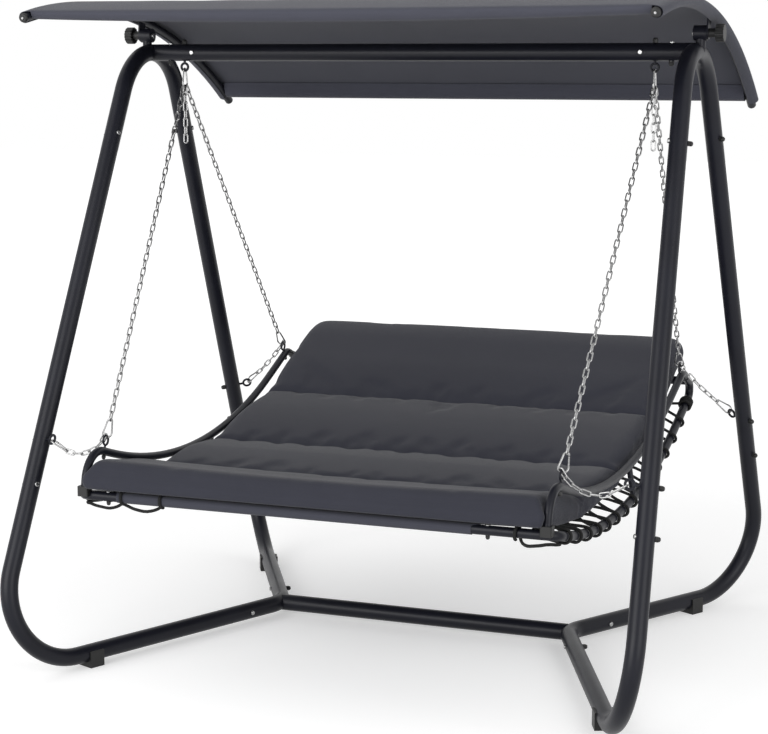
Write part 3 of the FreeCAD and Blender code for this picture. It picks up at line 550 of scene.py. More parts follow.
@dataclass
class SeatLine:
    """The side view of the lounger: two straight runs joined by one wide bend, and a tail if asked for.

    The front and rear points are the rails' centres; lift is the distance above their centre line.
    """

    front: Vector
    back: Vector
    lift: float
    front_reach: float = 0.0
    tail: bool = False
    dip: tuple[float, float] = (-0.020, 0.372)
    bend_radius: float = 2.150
    tail_start: float = 0.060
    tail_radius: float = 0.400
    tail_slope: float = 8.0
    tail_length: float = 0.065
    arc_steps: int = 160

    def __post_init__(self) -> None:
        """Lay the corner points, round them and measure along the line."""
        front = np.array([self.front.y, self.front.z])
        back = np.array([self.back.y, self.back.z])
        dip = np.array(self.dip)
        first, second = unit(dip - front), unit(back - dip)
        normals = [np.array([-run[1], run[0]]) for run in (first, second)]
        middle = unit(normals[0] + normals[1])
        corners = [front + normals[0] * self.lift - first * self.front_reach,
                   dip + middle * (self.lift / middle.dot(normals[1])),
                   back + normals[1] * self.lift]
        radii = [self.bend_radius]
        if self.tail:
            slope = math.radians(self.tail_slope)
            corners[2] = corners[2] + second * self.tail_start
            corners.append(corners[2] + np.array([math.cos(slope), math.sin(slope)]) * self.tail_length)
            radii.append(self.tail_radius)
        self.points = self.rounded(corners, radii)
        steps = np.linalg.norm(np.diff(self.points, axis=0), axis=1)
        self.lengths = np.concatenate([[0.0], np.cumsum(steps)])
        self.length = float(self.lengths[-1])
        headings = np.gradient(self.points, self.lengths, axis=0)
        self.slopes = np.arctan2(headings[:, 1], headings[:, 0])

    def rounded(self, corners: list[np.ndarray], radii: list[float]) -> np.ndarray:
        """Round the inner corners of a line.

        Args:
            corners: the line's points.
            radii: the radius of the arc at each inner corner.

        Returns:
            Points along the line.
        """
        points = [corners[0]]
        for before, corner, after, radius in zip(corners, corners[1:], corners[2:], radii):
            back, ahead = unit(before - corner), unit(after - corner)
            half = math.acos(back.dot(ahead)) / 2
            centre = corner + unit(back + ahead) * (radius / math.sin(half))
            entry = corner + back * (radius / math.tan(half)) - centre
            leave = corner + ahead * (radius / math.tan(half)) - centre
            turn = math.atan2(entry[0] * leave[1] - entry[1] * leave[0], entry.dot(leave))
            for angle in np.linspace(0.0, turn, self.arc_steps):
                cosine, sine = math.cos(angle), math.sin(angle)
                points.append(centre + np.array([entry[0] * cosine - entry[1] * sine,
                                                 entry[0] * sine + entry[1] * cosine]))
        return np.array(points + [corners[-1]])

    def at(self, run: float) -> tuple[Vector, Vector]:
        """Where a length along the line lies.

        Args:
            run: length from the front; beyond the ends the line goes straight on.

        Returns:
            The point and the direction square to the line, upwards.
        """
        inside = min(max(run, 0.0), self.length)
        slope = float(np.interp(inside, self.lengths, self.slopes))
        beyond = run - inside
        y = float(np.interp(inside, self.lengths, self.points[:, 0])) + beyond * math.cos(slope)
        z = float(np.interp(inside, self.lengths, self.points[:, 1])) + beyond * math.sin(slope)
        return Vector((0.0, y, z)), Vector((0.0, -math.sin(slope), math.cos(slope)))

    def run_at(self, y: float) -> float:
        """The length along the line at a distance from front to rear."""
        return float(np.interp(y, self.points[:, 0], self.lengths))


def centre_of(node: str) -> Vector:
    """The middle of a node's box in the side view."""
    low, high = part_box(node)
    return Vector((0.0, (low.y + high.y) / 2, (low.z + high.z) / 2))


@dataclass
class Mattress:
    """The quilted pad: four stuffed panels sewn off from each other."""

    half_width: float = 0.612
    front_reach: float = 0.038
    lift: float = 0.0160
    full: float = 0.075
    front_full: float = 0.067
    front_ends: float = 0.014
    front_ease: float = 0.30
    front_round: float = 0.060
    flare: float = 0.010
    flare_reach: float = 0.028
    seam: float = 0.052
    side_share: float = 0.82
    bulge: float = 0.008
    seam_inset: float = 0.009
    inset_reach: float = 0.050
    cell: float = 0.0145
    crease: float = 0.004
    crease_depth: float = 0.007
    crease_width: float = 0.012
    corner_front: float = 0.012
    corner_rear: float = 0.045
    round_reach: float = 0.034
    puff_reach: float = 0.200
    crown_share: float = 0.04
    wall_cells: int = 6
    seam_y: tuple[float, ...] = (-0.370, -0.010, 0.398)
    pressure: float = 0.3
    cap: float = 0.0035
    stuffing_frames: int = 20
    sharp_edge: float = 70.0

    def build(self) -> bpy.types.Object:
        """Model the pad, stuff it and crease its seams.

        Returns:
            The finished pad.
        """
        front, back = centre_of("front_rail"), centre_of("rear_rail")
        self.line = SeatLine(front, back, self.lift, self.front_reach, True)
        self.seams = [self.line.run_at(y) for y in self.seam_y]
        piece = self.block()
        self.stuff(piece)
        apply_modifier(piece, "SUBSURF", levels=1, render_levels=1)
        smooth(piece, self.sharp_edge)
        return piece

    def stops(self) -> np.ndarray:
        """Space the grid along the pad.

        Returns:
            Lengths from the front at which the grid has lines, with a close pair at each seam.
        """
        marks = [0.0] + self.seams + [self.line.length]
        stops: list[float] = []
        for low, high in zip(marks, marks[1:]):
            inner_low = low + (self.crease if low else 0.0)
            inner_high = high - (self.crease if high < self.line.length else 0.0)
            count = max(round((inner_high - inner_low) / self.cell), 1)
            if low:
                stops.append(low)
            stops += list(np.linspace(inner_low, inner_high, count + 1))
        return np.array(stops)

    def from_seam(self, run: float) -> float:
        """How far a length along the pad is from the nearest seam."""
        return min(abs(run - seam) for seam in self.seams)

    def thickness(self, x: float, run: float) -> float:
        """The stuffed height well inside the border.

        Args:
            x: place across, from the middle.
            run: length from the front.

        Returns:
            The height above the sling.
        """
        away = self.from_seam(run)
        puff = math.sin(math.pi / 2 * min(away / self.puff_reach, 1.0))
        full = self.front_full if run < self.seams[0] else self.full
        height = self.seam + (full - self.seam) * puff
        height *= 1 + self.crown_share * (1 - (x / self.half_width) ** 2)
        if run < self.seams[0]:
            height += self.front_ends * (x / self.half_width) ** 2 * puff
        return height - self.crease_depth * math.exp(-(away / self.crease_width) ** 2)

    def place(self, x: float, run: float, rise: float, top: bool) -> Vector:
        """Where a point of the plain block goes.

        Args:
            x: place across, from the middle.
            run: length from the front.
            rise: height up the side wall, 0 to 1.
            top: the point lies on the upper face.

        Returns:
            The point on the pad.
        """
        length = self.line.length
        half = self.half_width
        corner = self.corner_front if run < length / 2 else self.corner_rear
        into_x = abs(x) - (half - corner)
        near_end = min(run, length - run)
        into_run = corner - near_end
        plan_x, plan_run = x, run
        if into_x > 0 and into_run > 0:
            scale = max(into_x, into_run) / math.hypot(into_x, into_run)
            plan_x = math.copysign(half - corner + into_x * scale, x)
            shift = corner - into_run * scale
            plan_run = shift if run < length / 2 else length - shift
        inward = min(half - abs(x), near_end)
        full = self.thickness(x, run)
        wall = self.side_share - self.front_ease * max(0.0, 1 - run / self.front_round)
        if top:
            shares = ((half - abs(x)) / self.round_reach, run / self.front_round,
                      (length - run) / self.round_reach)
            share = clipped(min(shares))
            height = full * (wall + (1 - wall) * math.sqrt(1 - (1 - share) ** 2))
        else:
            height = full * wall * rise
        swell = self.bulge * 4 * rise * (1 - rise) if not top else 0.0
        slack = max(0.0, 1 - self.from_seam(run) / self.inset_reach)
        pull = self.seam_inset * slack * max(0.0, 1 - inward / self.round_reach)
        on_side = 1.0 if half - abs(x) <= TINY else 0.0
        on_end = 1.0 if near_end <= TINY else 0.0
        flare = self.flare * max(0.0, 1 - run / self.flare_reach) * abs(x) / half
        plan_x += math.copysign(swell * on_side - pull + flare, x)
        plan_run += swell * on_end * (-1 if run < length / 2 else 1)
        foot, normal = self.line.at(plan_run)
        point = foot + normal * height
        return Vector((plan_x, point.y, point.z))

    def block(self) -> bpy.types.Object:
        """Model the pad before stuffing: a gridded block laid along the seat, seams already low.

        Returns:
            The block, with its seams and underside in the group "held".
        """
        count = round(2 * self.half_width / self.cell)
        across = np.linspace(-self.half_width, self.half_width, count + 1)
        along = self.stops()
        rises = np.linspace(0.0, 1.0, self.wall_cells + 1)
        spread = (across, along, rises * self.full)
        points: list[tuple] = []
        numbers: dict[tuple, int] = {}
        faces: list[list[int]] = []
        flat: list[tuple] = []

        def number(corner: tuple[int, int, int]) -> int:
            """The number of a grid point, which is placed when it is first asked for."""
            if corner not in numbers:
                column, row, level = corner
                numbers[corner] = len(points)
                top = level == self.wall_cells
                points.append(tuple(self.place(across[column], along[row], rises[level], top)))
            return numbers[corner]

        def cell(start: tuple, first: int, second: int, axes: tuple[int, int], turn: bool) -> None:
            """Add one face.

            Args:
                start: its first grid point: column, row and level.
                first: the axis of its first side.
                second: the axis of its second side.
                axes: the axes that its cloth coordinates follow.
                turn: it faces the other way.
            """
            corners = []
            for ahead, aside in ((0, 0), (1, 0), (1, 1), (0, 1)):
                corner = list(start)
                corner[first] += ahead
                corner[second] += aside
                corners.append(tuple(corner))
            ring = [number(corner) for corner in corners]
            places = [tuple(spread[axis][corner[axis]] for axis in axes) for corner in corners]
            faces.append(ring[::-1] if turn else ring)
            flat.extend(places[::-1] if turn else places)

        last_column = len(across) - 1
        last_row = len(along) - 1
        for row in range(last_row):
            for column in range(last_column):
                for level in (0, self.wall_cells):
                    cell((column, row, level), 0, 1, (0, 1), level == 0)
        for level in range(self.wall_cells):
            for row in range(last_row):
                for column in (0, last_column):
                    cell((column, row, level), 1, 2, (2, 1), column == 0)
            for column in range(last_column):
                for row in (0, last_row):
                    cell((column, row, level), 0, 2, (0, 2), row == last_row)
        piece = cloth_mesh("mattress_pad", points, faces, flat)
        pinned = [index for (_, row, level), index in numbers.items()
                  if level == 0 or self.from_seam(along[row]) < self.crease / 2]
        piece.vertex_groups.new(name="held").add(pinned, 1.0, "REPLACE")
        return piece

    def stuff(self, piece: bpy.types.Object) -> None:
        """Inflate the pad as cloth with its seams and underside held, then keep each move short.

        Args:
            piece: the block.
        """
        rest = np.empty(len(piece.data.vertices) * 3)
        piece.data.vertices.foreach_get("co", rest)
        only(piece)
        modifier = piece.modifiers.new("stuffing", "CLOTH")
        settings = {
            "quality": 4, "mass": 0.4, "tension_stiffness": 12.0, "compression_stiffness": 12.0,
            "shear_stiffness": 4.0, "bending_stiffness": 0.4, "use_pressure": True,
            "uniform_pressure_force": self.pressure, "shrink_min": -0.025, "vertex_group_mass": "held",
        }
        for key, value in settings.items():
            setattr(modifier.settings, key, value)
        modifier.settings.effector_weights.gravity = 0.0
        modifier.collision_settings.use_collision = False
        scene = bpy.context.scene
        for frame in range(1, self.stuffing_frames + 1):
            scene.frame_set(frame)
        bpy.ops.object.modifier_apply(modifier=modifier.name)
        moved = np.empty_like(rest)
        piece.data.vertices.foreach_get("co", moved)
        step = (moved - rest).reshape(-1, 3)
        lengths = np.linalg.norm(step, axis=1, keepdims=True)
        step *= np.minimum(1.0, self.cap / np.maximum(lengths, TINY))
        LOG.info("stuffing moved the pad by %.1f mm at most", 1000 * float(lengths.max()))
        piece.data.vertices.foreach_set("co", (rest.reshape(-1, 3) + step).ravel())
        piece.data.update()
        scene.frame_set(1)

    def dress(self, piece: bpy.types.Object, cloth: bpy.types.Material) -> None:
        """Give the pad its cover and tie it to the lounger.

        Args:
            piece: the pad.
            cloth: its cover.
        """
        piece.data.materials.append(cloth)
        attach(piece, "lounger")
        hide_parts("mattress")


@dataclass
class Canopy:
    """The roof cloth: one sheet over two arches, hemmed round them and round the cross tubes."""

    tilt: float = 10.6
    pivot_height: float = 1.727
    over_pivot: float = 0.046
    chord: float = 1.246
    sagitta: float = 0.126
    arch_x: float = 0.842
    arch_r: float = 0.0125
    front_inset: float = 0.028
    rear_inset: float = 0.046
    front_overrun: float = 0.016
    rear_overrun: float = 0.022
    corner_back: float = 0.004
    corner_ahead: float = 0.009
    hem_gap: float = 0.001
    end_taper: float = 0.080
    sleeve_r: float = 0.0150
    sleeve_wide: float = 0.0235
    front_pocket: float = 0.0095
    rear_pocket: float = 0.0150
    pocket_return: float = 0.040
    pocket_rise: float = 0.7
    wrap_steps: int = 9
    wrap_degrees: float = 192.0
    cell: float = 0.024
    corner_reach: float = 0.030
    corner_power: int = 8
    belly: float = 0.002
    belly_reach: float = 0.25
    front_sag: float = 0.012
    sag_start: float = 0.13
    sag_reach: float = 0.08
    sag_top: float = 0.15
    sag_drop: float = 0.02
    thickness: float = 0.0011
    ripple: float = 0.0005
    ripples: tuple[tuple[float, ...], ...] = ((1.0, 31.0, 7.0, 0.0), (0.6, 17.0, -23.0, 1.3))

    def build(self) -> bpy.types.Object:
        """Model the cloth.

        Returns:
            The finished sheet.
        """
        half = self.chord / 2
        self.radius = (half ** 2 + self.sagitta ** 2) / (2 * self.sagitta)
        self.arch_run = self.radius * math.atan2(half, self.radius - self.sagitta)
        self.hem_x = self.arch_x - self.arch_r - self.hem_gap
        columns = self.profile()
        runs = self.lengthways()
        rows = np.zeros((len(runs), len(columns), 3))
        maps = np.zeros((len(runs), len(columns), 2))
        keep = np.ones((len(runs) - 1, len(columns) - 1), bool)
        for row, (flat_run, run, drop, _) in enumerate(runs):
            for column, (flat_x, x, rise) in enumerate(columns):
                rows[row, column] = self.point(x, rise, run, drop)
                maps[row, column] = (flat_x, flat_run)
        for row in range(len(runs) - 1):
            if runs[row][3] or runs[row + 1][3]:
                for column in range(len(columns) - 1):
                    (_, left, left_rise), (_, right, right_rise) = columns[column:column + 2]
                    level = min(left_rise, right_rise) > self.arch_r * self.pocket_rise
                    keep[row, column] = abs(left + right) / 2 < self.hem_x and level
        self.flat = (columns[-1][0] - columns[0][0], runs[-1][0] - runs[0][0])
        piece = sheet_mesh("canopy_sheet", rows, maps, keep)
        thicken(piece, self.thickness)
        return piece

    def profile(self) -> list[tuple[float, float, float]]:
        """Follow the sheet from side to side.

        Returns:
            Flat lengths, places across and heights over the arch's centre.
        """
        wrap = math.radians(self.wrap_degrees)
        right = []
        flat = self.arch_x
        last = (self.arch_x, self.sleeve_r)
        for count in range(1, self.wrap_steps + 1):
            angle = math.pi / 2 - count * wrap / self.wrap_steps
            wide = self.sleeve_wide if math.cos(angle) > 0 else self.sleeve_r
            point = (self.arch_x + wide * math.cos(angle), self.sleeve_r * math.sin(angle))
            flat += math.dist(point, last)
            right.append((flat, *point))
            last = point
        count = round(2 * self.hem_x / self.cell)
        places = [-self.arch_x, *np.linspace(-self.hem_x, self.hem_x, count + 1), self.arch_x]
        level = [(x, x, self.sleeve_r) for x in places]
        left = [(-flat_x, -x, rise) for flat_x, x, rise in reversed(right)]
        return left + level + right

    def lengthways(self) -> list[tuple[float, float, float, bool]]:
        """Follow the sheet from front to rear.

        Returns:
            Flat lengths, runs along the arch, drops below it and whether they lie in a hem.
        """
        front, rear = self.arch_run - self.front_inset, self.arch_run - self.rear_inset
        count = round((front + rear) / self.cell)
        runs = np.linspace(-front - self.front_overrun, rear + self.rear_overrun, count + 1)
        level = [(run, run, 0.0, False) for run in runs]
        first = [(-flat, -run, drop, True)
                 for flat, run, drop in reversed(self.hem(front, self.front_overrun, self.front_pocket))]
        last = self.hem(rear, self.rear_overrun, self.rear_pocket)
        return first + level + [(flat, run, drop, True) for flat, run, drop in last]

    def hem(self, tube: float, lead: float, depth: float) -> list[tuple[float, float, float]]:
        """A hem round a cross tube.

        Args:
            tube: the tube's run along the arch.
            lead: how far the hem reaches past the tube.
            depth: how far the hem hangs under the tube's centre.

        Returns:
            Flat lengths, runs along the arch and drops below it.
        """
        # each place of the hem: ahead of the tube's centre, and above it
        ring = [(lead + 0.002, 0.008), (lead, 0.001), (lead - 0.006, -depth * 0.7), (0.0, -depth),
                (-0.010, -depth * 0.85), (-0.021, -depth * 0.1), (-0.031, 0.006),
                (-self.pocket_return, self.sleeve_r - 0.003)]
        places = []
        last = (tube + lead, self.sleeve_r)
        flat = last[0]
        for ahead, rise in ring:
            place = (tube + ahead, rise)
            flat += math.dist(place, last)
            places.append((flat, place[0], self.sleeve_r - rise))
            last = place
        return places

    def point(self, x: float, rise: float, run: float, drop: float) -> tuple[float, float, float]:
        """A point of the sheet.

        Args:
            x: place across.
            rise: height over the arch's centre line.
            run: length along the arch from its crown.
            drop: how far a hem hangs under the sheet.

        Returns:
            The point, with the canopy at its rest tilt.
        """
        beyond = abs(x) - self.arch_x
        if beyond > 0:
            loose = min(1.0, (run + self.arch_run) / self.end_taper)
            tight = self.sleeve_r / self.sleeve_wide
            x = math.copysign(self.arch_x + beyond * (tight + (1 - tight) * loose), x)
        ahead = self.front_inset + self.corner_reach - run - self.arch_run
        edge = clipped(ahead / self.corner_reach)
        if abs(x) <= self.hem_x:
            run += self.corner_back * edge * (x / self.hem_x) ** self.corner_power
        else:
            run -= self.corner_ahead * edge
        span = max(0.0, 1 - (x / self.arch_x) ** 2)
        ends = clipped((self.arch_run - abs(run)) / self.belly_reach)
        fold = sum(size * math.sin(x * across + run * along + start)
                   for size, across, along, start in self.ripples)
        sink = (self.belly + self.ripple * fold) * span * ends
        front = clipped((-run - self.arch_run + self.sag_start) / self.sag_reach)
        slack = self.front_sag * span * front * min(1.0, self.sag_top + drop / self.sag_drop)
        angle = run / self.radius
        out = self.radius + rise - drop - sink - slack
        y = out * math.sin(angle)
        z = self.over_pivot - self.radius + out * math.cos(angle)
        lean = math.radians(-self.tilt)
        return (x, y * math.cos(lean) - z * math.sin(lean),
                self.pivot_height + y * math.sin(lean) + z * math.cos(lean))

    def dress(self, piece: bpy.types.Object, cloth: bpy.types.Material) -> None:
        """Give the roof its cloth and tie it to the canopy frame.

        Args:
            piece: the sheet.
            cloth: its finish.
        """
        piece.data.materials.append(cloth)
        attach(piece, "canopy")
        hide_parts("canopy_fabric")


@dataclass
class Sling:
    """The seat cloth, sleeved on the front and rear rails and laced at its sides."""

    half_width: float = 0.580
    sleeve_reaches: tuple[float, float] = (0.536, 0.437)
    rail_r: float = 0.0125
    gap: float = 0.0005
    cell: float = 0.026
    thickness: float = 0.0016
    sleeve_return: float = 0.050
    sleeve_steps: int = 9
    sleeve_degrees: float = 26.0
    sleeve_gap: float = 0.003
    sleeve_gape: float = 0.010
    widen_lead: float = 0.010
    widen_reach: float = 0.080

    def build(self) -> bpy.types.Object:
        """Model the cloth.

        Returns:
            The finished sheet.
        """
        lift = self.rail_r + self.gap + self.thickness / 2
        self.line = SeatLine(centre_of("front_rail"), centre_of("rear_rail"), lift)
        stations = self.stations(lift)
        count = round(2 * self.half_width / self.cell)
        shares = np.linspace(-1.0, 1.0, count + 1)
        rows = np.zeros((len(stations), count + 1, 3))
        maps = np.zeros((len(stations), count + 1, 2))
        for row, (flat, y, z, reaches) in enumerate(stations):
            for column, share in enumerate(shares):
                x = share * reaches[int(share > 0)]
                rows[row, column] = (x, y, z)
                maps[row, column] = (x, flat)
        self.flat = (2 * self.half_width, stations[-1][0] - stations[0][0])
        piece = sheet_mesh("sling_sheet", rows, maps, np.ones((len(stations) - 1, count), bool))
        thicken(piece, self.thickness)
        return piece

    def stations(self, lift: float) -> list[tuple[float, float, float, list[float]]]:
        """Follow the sheet from front to rear.

        Args:
            lift: the sheet's distance from the rails' centres.

        Returns:
            Flat lengths, places, heights, and reaches to the left and right.
        """
        count = round(self.line.length / self.cell)
        line = [self.line.at(run)[0] for run in np.linspace(0.0, self.line.length, count + 1)]
        path = [(point.y, point.z) for point in line]
        front = self.sleeve(centre_of("front_rail"), line[0], lift, 1)
        rear = self.sleeve(centre_of("rear_rail"), line[-1], lift, -1)
        path = list(reversed(front)) + path + rear
        flat = -sum(math.dist(a, b) for a, b in zip(path[:len(front)], path[1:]))
        stations = []
        for count, place in enumerate(path):
            if count:
                flat += math.dist(place, path[count - 1])
            share = clipped((flat + self.widen_lead) / self.widen_reach)
            reaches = [reach + (self.half_width - reach) * share for reach in self.sleeve_reaches]
            stations.append((flat, *place, reaches))
        return stations

    def sleeve(self, rail: Vector, start: Vector, lift: float, turn: int) -> list[tuple[float, float]]:
        """Points that go on from the sheet's end round a rail and back under the sheet.

        Args:
            rail: the rail's centre.
            start: the sheet's end over the rail.
            lift: the sheet's distance from the rail's centre.
            turn: 1 for the front rail, -1 for the rear rail.

        Returns:
            Places and heights.
        """
        first = math.atan2(start.z - rail.z, start.y - rail.y)
        ring = []
        for count in range(1, self.sleeve_steps + 1):
            angle = first + turn * count * math.radians(self.sleeve_degrees)
            ring.append((rail.y + lift * math.cos(angle), rail.z + lift * math.sin(angle)))
        end = self.line.length
        for share in (0.5, 1.0):
            run = self.sleeve_return * share
            point, normal = self.line.at(run if turn > 0 else end - run)
            below = point - normal * (self.sleeve_gap + self.sleeve_gape * (1 - share))
            ring.append((below.y, below.z))
        return ring

    def dress(self, piece: bpy.types.Object, cloth: bpy.types.Material) -> None:
        """Give the sling its cloth and tie it to the lounger.

        Args:
            piece: the sheet.
            cloth: its finish.
        """
        piece.data.materials.append(cloth)
        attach(piece, "lounger")
        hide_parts("seat_sling")
        area = sum(face.area for face in piece.data.polygons) / 2
        min(area, self.flat[0] * self.flat[1])


@dataclass
class Lacing:
    """Elastic cord that runs between the sling's edges and the side rails."""

    side: Side
    ties: tuple[float, ...]
    rail_x: float = 0.652
    rail_back: tuple[float, float, float] = (0.0, 0.772, 0.659)
    rail_r: float = 0.0125
    cord_r: float = 0.0042
    gap: float = 0.0004
    edge_x: float = 0.574
    pitch: float = 0.095
    first_y: float = -0.665
    turns: int = 14
    lead: float = 0.009
    sling_lift: float = 0.0138
    hide: float = 0.0052
    slack: float = 0.011
    loop_places: tuple[float, float] = (0.3, 0.7)
    corner_hang: tuple[tuple[float, float, float], ...] = ((0.030, 0.012, 0.8), (0.004, 0.046, 0.9))
    coil_y: float = 0.660
    coil_start: float = 150.0
    coils: int = 4
    steps: int = 8
    profile_steps: int = 2
    curve_steps: int = 4

    def build(self) -> bpy.types.Object:
        """Lay one side's cord.

        Returns:
            The cord as a mesh.
        """
        self.front = centre_of("front_rail")
        self.rail = SeatLine(self.front, Vector(self.rail_back), 0.0)
        self.sling = SeatLine(self.front, centre_of("rear_rail"), self.sling_lift)
        self.reach = self.rail_r + self.cord_r + self.gap
        route = self.corner()
        for count in range(self.turns):
            route += self.turn(self.first_y + count * self.pitch)
        route += self.coil()
        length = sum((after - before).length for before, after in zip(route, route[1:]))
        LOG.info("%s cord is %.2f m long", self.side.word, length)
        curve = bpy.data.curves.new(self.side.word + "_elastic_lacing", "CURVE")
        curve.dimensions = "3D"
        spline = curve.splines.new("BEZIER")
        spline.bezier_points.add(len(route) - 1)
        for point, place in zip(spline.bezier_points, route):
            point.co = (place.x * self.side.value, place.y, place.z)
            point.handle_left_type = "AUTO"
            point.handle_right_type = "AUTO"
        curve.bevel_depth = self.cord_r
        curve.bevel_resolution = self.profile_steps
        curve.resolution_u = self.curve_steps
        curve.use_fill_caps = True
        piece = bpy.data.objects.new(curve.name, curve)
        bpy.context.scene.collection.objects.link(piece)
        only(piece)
        bpy.ops.object.convert(target="MESH")
        piece = bpy.context.view_layer.objects.active
        smooth(piece)
        return piece

    def turn(self, y: float) -> list[Vector]:
        """One turn: out from the sling's edge, round the rail and back under the edge.

        Args:
            y: the turn's distance from front to rear.

        Returns:
            Points of the right side's cord.
        """
        run = self.rail.run_at(y)
        foot, normal = self.rail.at(run)
        rise = (self.sling.at(self.sling.run_at(y))[0] - foot).dot(normal) - self.hide
        out = self.edge_x - self.rail_x
        upper, lower = (out, rise), (out, rise - 2 * self.cord_r)
        first = math.atan2(upper[1], out) % math.tau - math.acos(self.reach / math.hypot(*upper))
        last = math.atan2(lower[1], out) % math.tau + math.acos(self.reach / math.hypot(*lower)) - math.tau
        points = [self.spot(run - self.lead, *upper)]
        for share in np.linspace(0.0, 1.0, self.steps):
            angle = first + (last - first) * share
            along = self.lead * 0.5 * (2 * share - 1)
            points.append(self.spot(run + along, self.reach * math.cos(angle), self.reach * math.sin(angle)))
        return points + [self.spot(run + self.lead, *lower)]

    def spot(self, run: float, out: float, rise: float) -> Vector:
        """A point beside the right rail.

        Args:
            run: length along the rail.
            out: distance outwards from its centre.
            rise: distance upwards from its centre.

        Returns:
            The point.
        """
        point, normal = self.rail.at(run)
        place = point + normal * rise
        return Vector((self.rail_x + out, place.y, place.z))

    def corner(self) -> list[Vector]:
        """The cord's front end: tied round the front rail and hung in loops under it to the corner.

        Returns:
            Points of the right side's cord.
        """
        points = []
        marks = list(self.ties) + [self.rail_x - self.corner_hang[0][0]]
        low = self.front.z - self.reach
        for mark, after in zip(marks, marks[1:]):
            for step in range(self.steps):
                angle = -math.pi / 2 - math.tau * step / self.steps
                y = self.front.y + self.reach * math.cos(angle)
                z = self.front.z + self.reach * math.sin(angle)
                points.append(Vector((mark + step * self.cord_r / 4, y, z)))
            for share in self.loop_places:
                points.append(Vector((mark + (after - mark) * share, self.front.y, low - self.slack)))
        for inset, behind, share in self.corner_hang:
            points.append(Vector((self.rail_x - inset, self.front.y + behind, low - self.slack * share)))
        return points

    def coil(self) -> list[Vector]:
        """The cord's rear end, wound close round the rail.

        Returns:
            Points of the right side's cord.
        """
        run = self.rail.run_at(self.coil_y)
        points = []
        for step in range(self.coils * self.steps + 1):
            angle = math.radians(self.coil_start) - math.tau * step / self.steps
            along = run + 2 * self.cord_r * step / self.steps
            points.append(self.spot(along, self.reach * math.cos(angle), self.reach * math.sin(angle)))
        return points

    def dress(self, piece: bpy.types.Object, cord: bpy.types.Material) -> None:
        """Give the cord its cover and tie it to the lounger.

        Args:
            piece: the cord.
            cord: its finish.
        """
        piece.data.materials.append(cord)
        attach(piece, "lounger")
        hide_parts(self.side.word + "_bungee_lacing")


@dataclass
class Stay:
    """One short chain with its hook, from a seat eye to a leg eye."""

    end: End
    side: Side
    merge: float = 0.00001

    def build(self) -> bpy.types.Object:
        """Copy this corner's links and hook out of the frame's groups.

        Returns:
            Chain and hook as one mesh.
        """
        copies = []
        for node in (self.end.value + "_stabiliser_chains", "stabiliser_carabiners"):
            copy = bpy.data.objects[node].copy()
            copy.data = copy.data.copy()
            copy.parent = None
            for key in list(copy.keys()):
                del copy[key]
            bpy.context.scene.collection.objects.link(copy)
            copy.hide_viewport = False
            copy.hide_render = False
            copies.append(copy)
        bpy.ops.object.select_all(action="DESELECT")
        for copy in copies:
            copy.select_set(True)
        bpy.context.view_layer.objects.active = copies[0]
        bpy.ops.object.join()
        piece = bpy.context.view_layer.objects.active
        piece.name = self.side.word + "_" + self.end.value + "_stay"
        piece.data.name = piece.name
        rear = self.end is End.REAR
        bpy.ops.object.mode_set(mode="EDIT")
        bpy.ops.mesh.select_all(action="SELECT")
        bpy.ops.mesh.remove_doubles(threshold=self.merge)
        bpy.ops.mesh.select_all(action="DESELECT")
        bpy.ops.object.mode_set(mode="OBJECT")
        for vertex in piece.data.vertices:
            vertex.select = vertex.co.x * self.side.value < 0 or (vertex.co.y > 0) != rear
        bpy.ops.object.mode_set(mode="EDIT")
        bpy.ops.mesh.delete(type="VERT")
        bpy.ops.object.mode_set(mode="OBJECT")
        smooth(piece)
        return piece

    def dress(self, piece: bpy.types.Object, zinc: bpy.types.Material) -> None:
        """Plate the chain and its hook and bake their placement into the mesh.

        Args:
            piece: chain and hook.
            zinc: their finish.
        """
        piece.data.materials.clear()
        piece.data.materials.append(zinc)
        places = [vertex.co.copy() for vertex in piece.data.vertices]
        places.sort(key=lambda place: abs(place.x))
        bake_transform(piece)


@dataclass(frozen=True)
class Lamp:
    """One square soft box."""

    name: str
    place: tuple[float, float, float]
    size: float
    power: float

    def hang(self, aim: tuple[float, float, float]) -> None:
        """Hang the lamp.

        Args:
            aim: the place it faces.
        """
        data = bpy.data.lights.new(self.name, "AREA")
        data.size = self.size
        data.energy = self.power
        lamp = bpy.data.objects.new(self.name, data)
        lamp.location = self.place
        beam = Vector(aim) - Vector(self.place)
        lamp.rotation_euler = beam.to_track_quat("-Z", "Y").to_euler()
        bpy.context.scene.collection.objects.link(lamp)


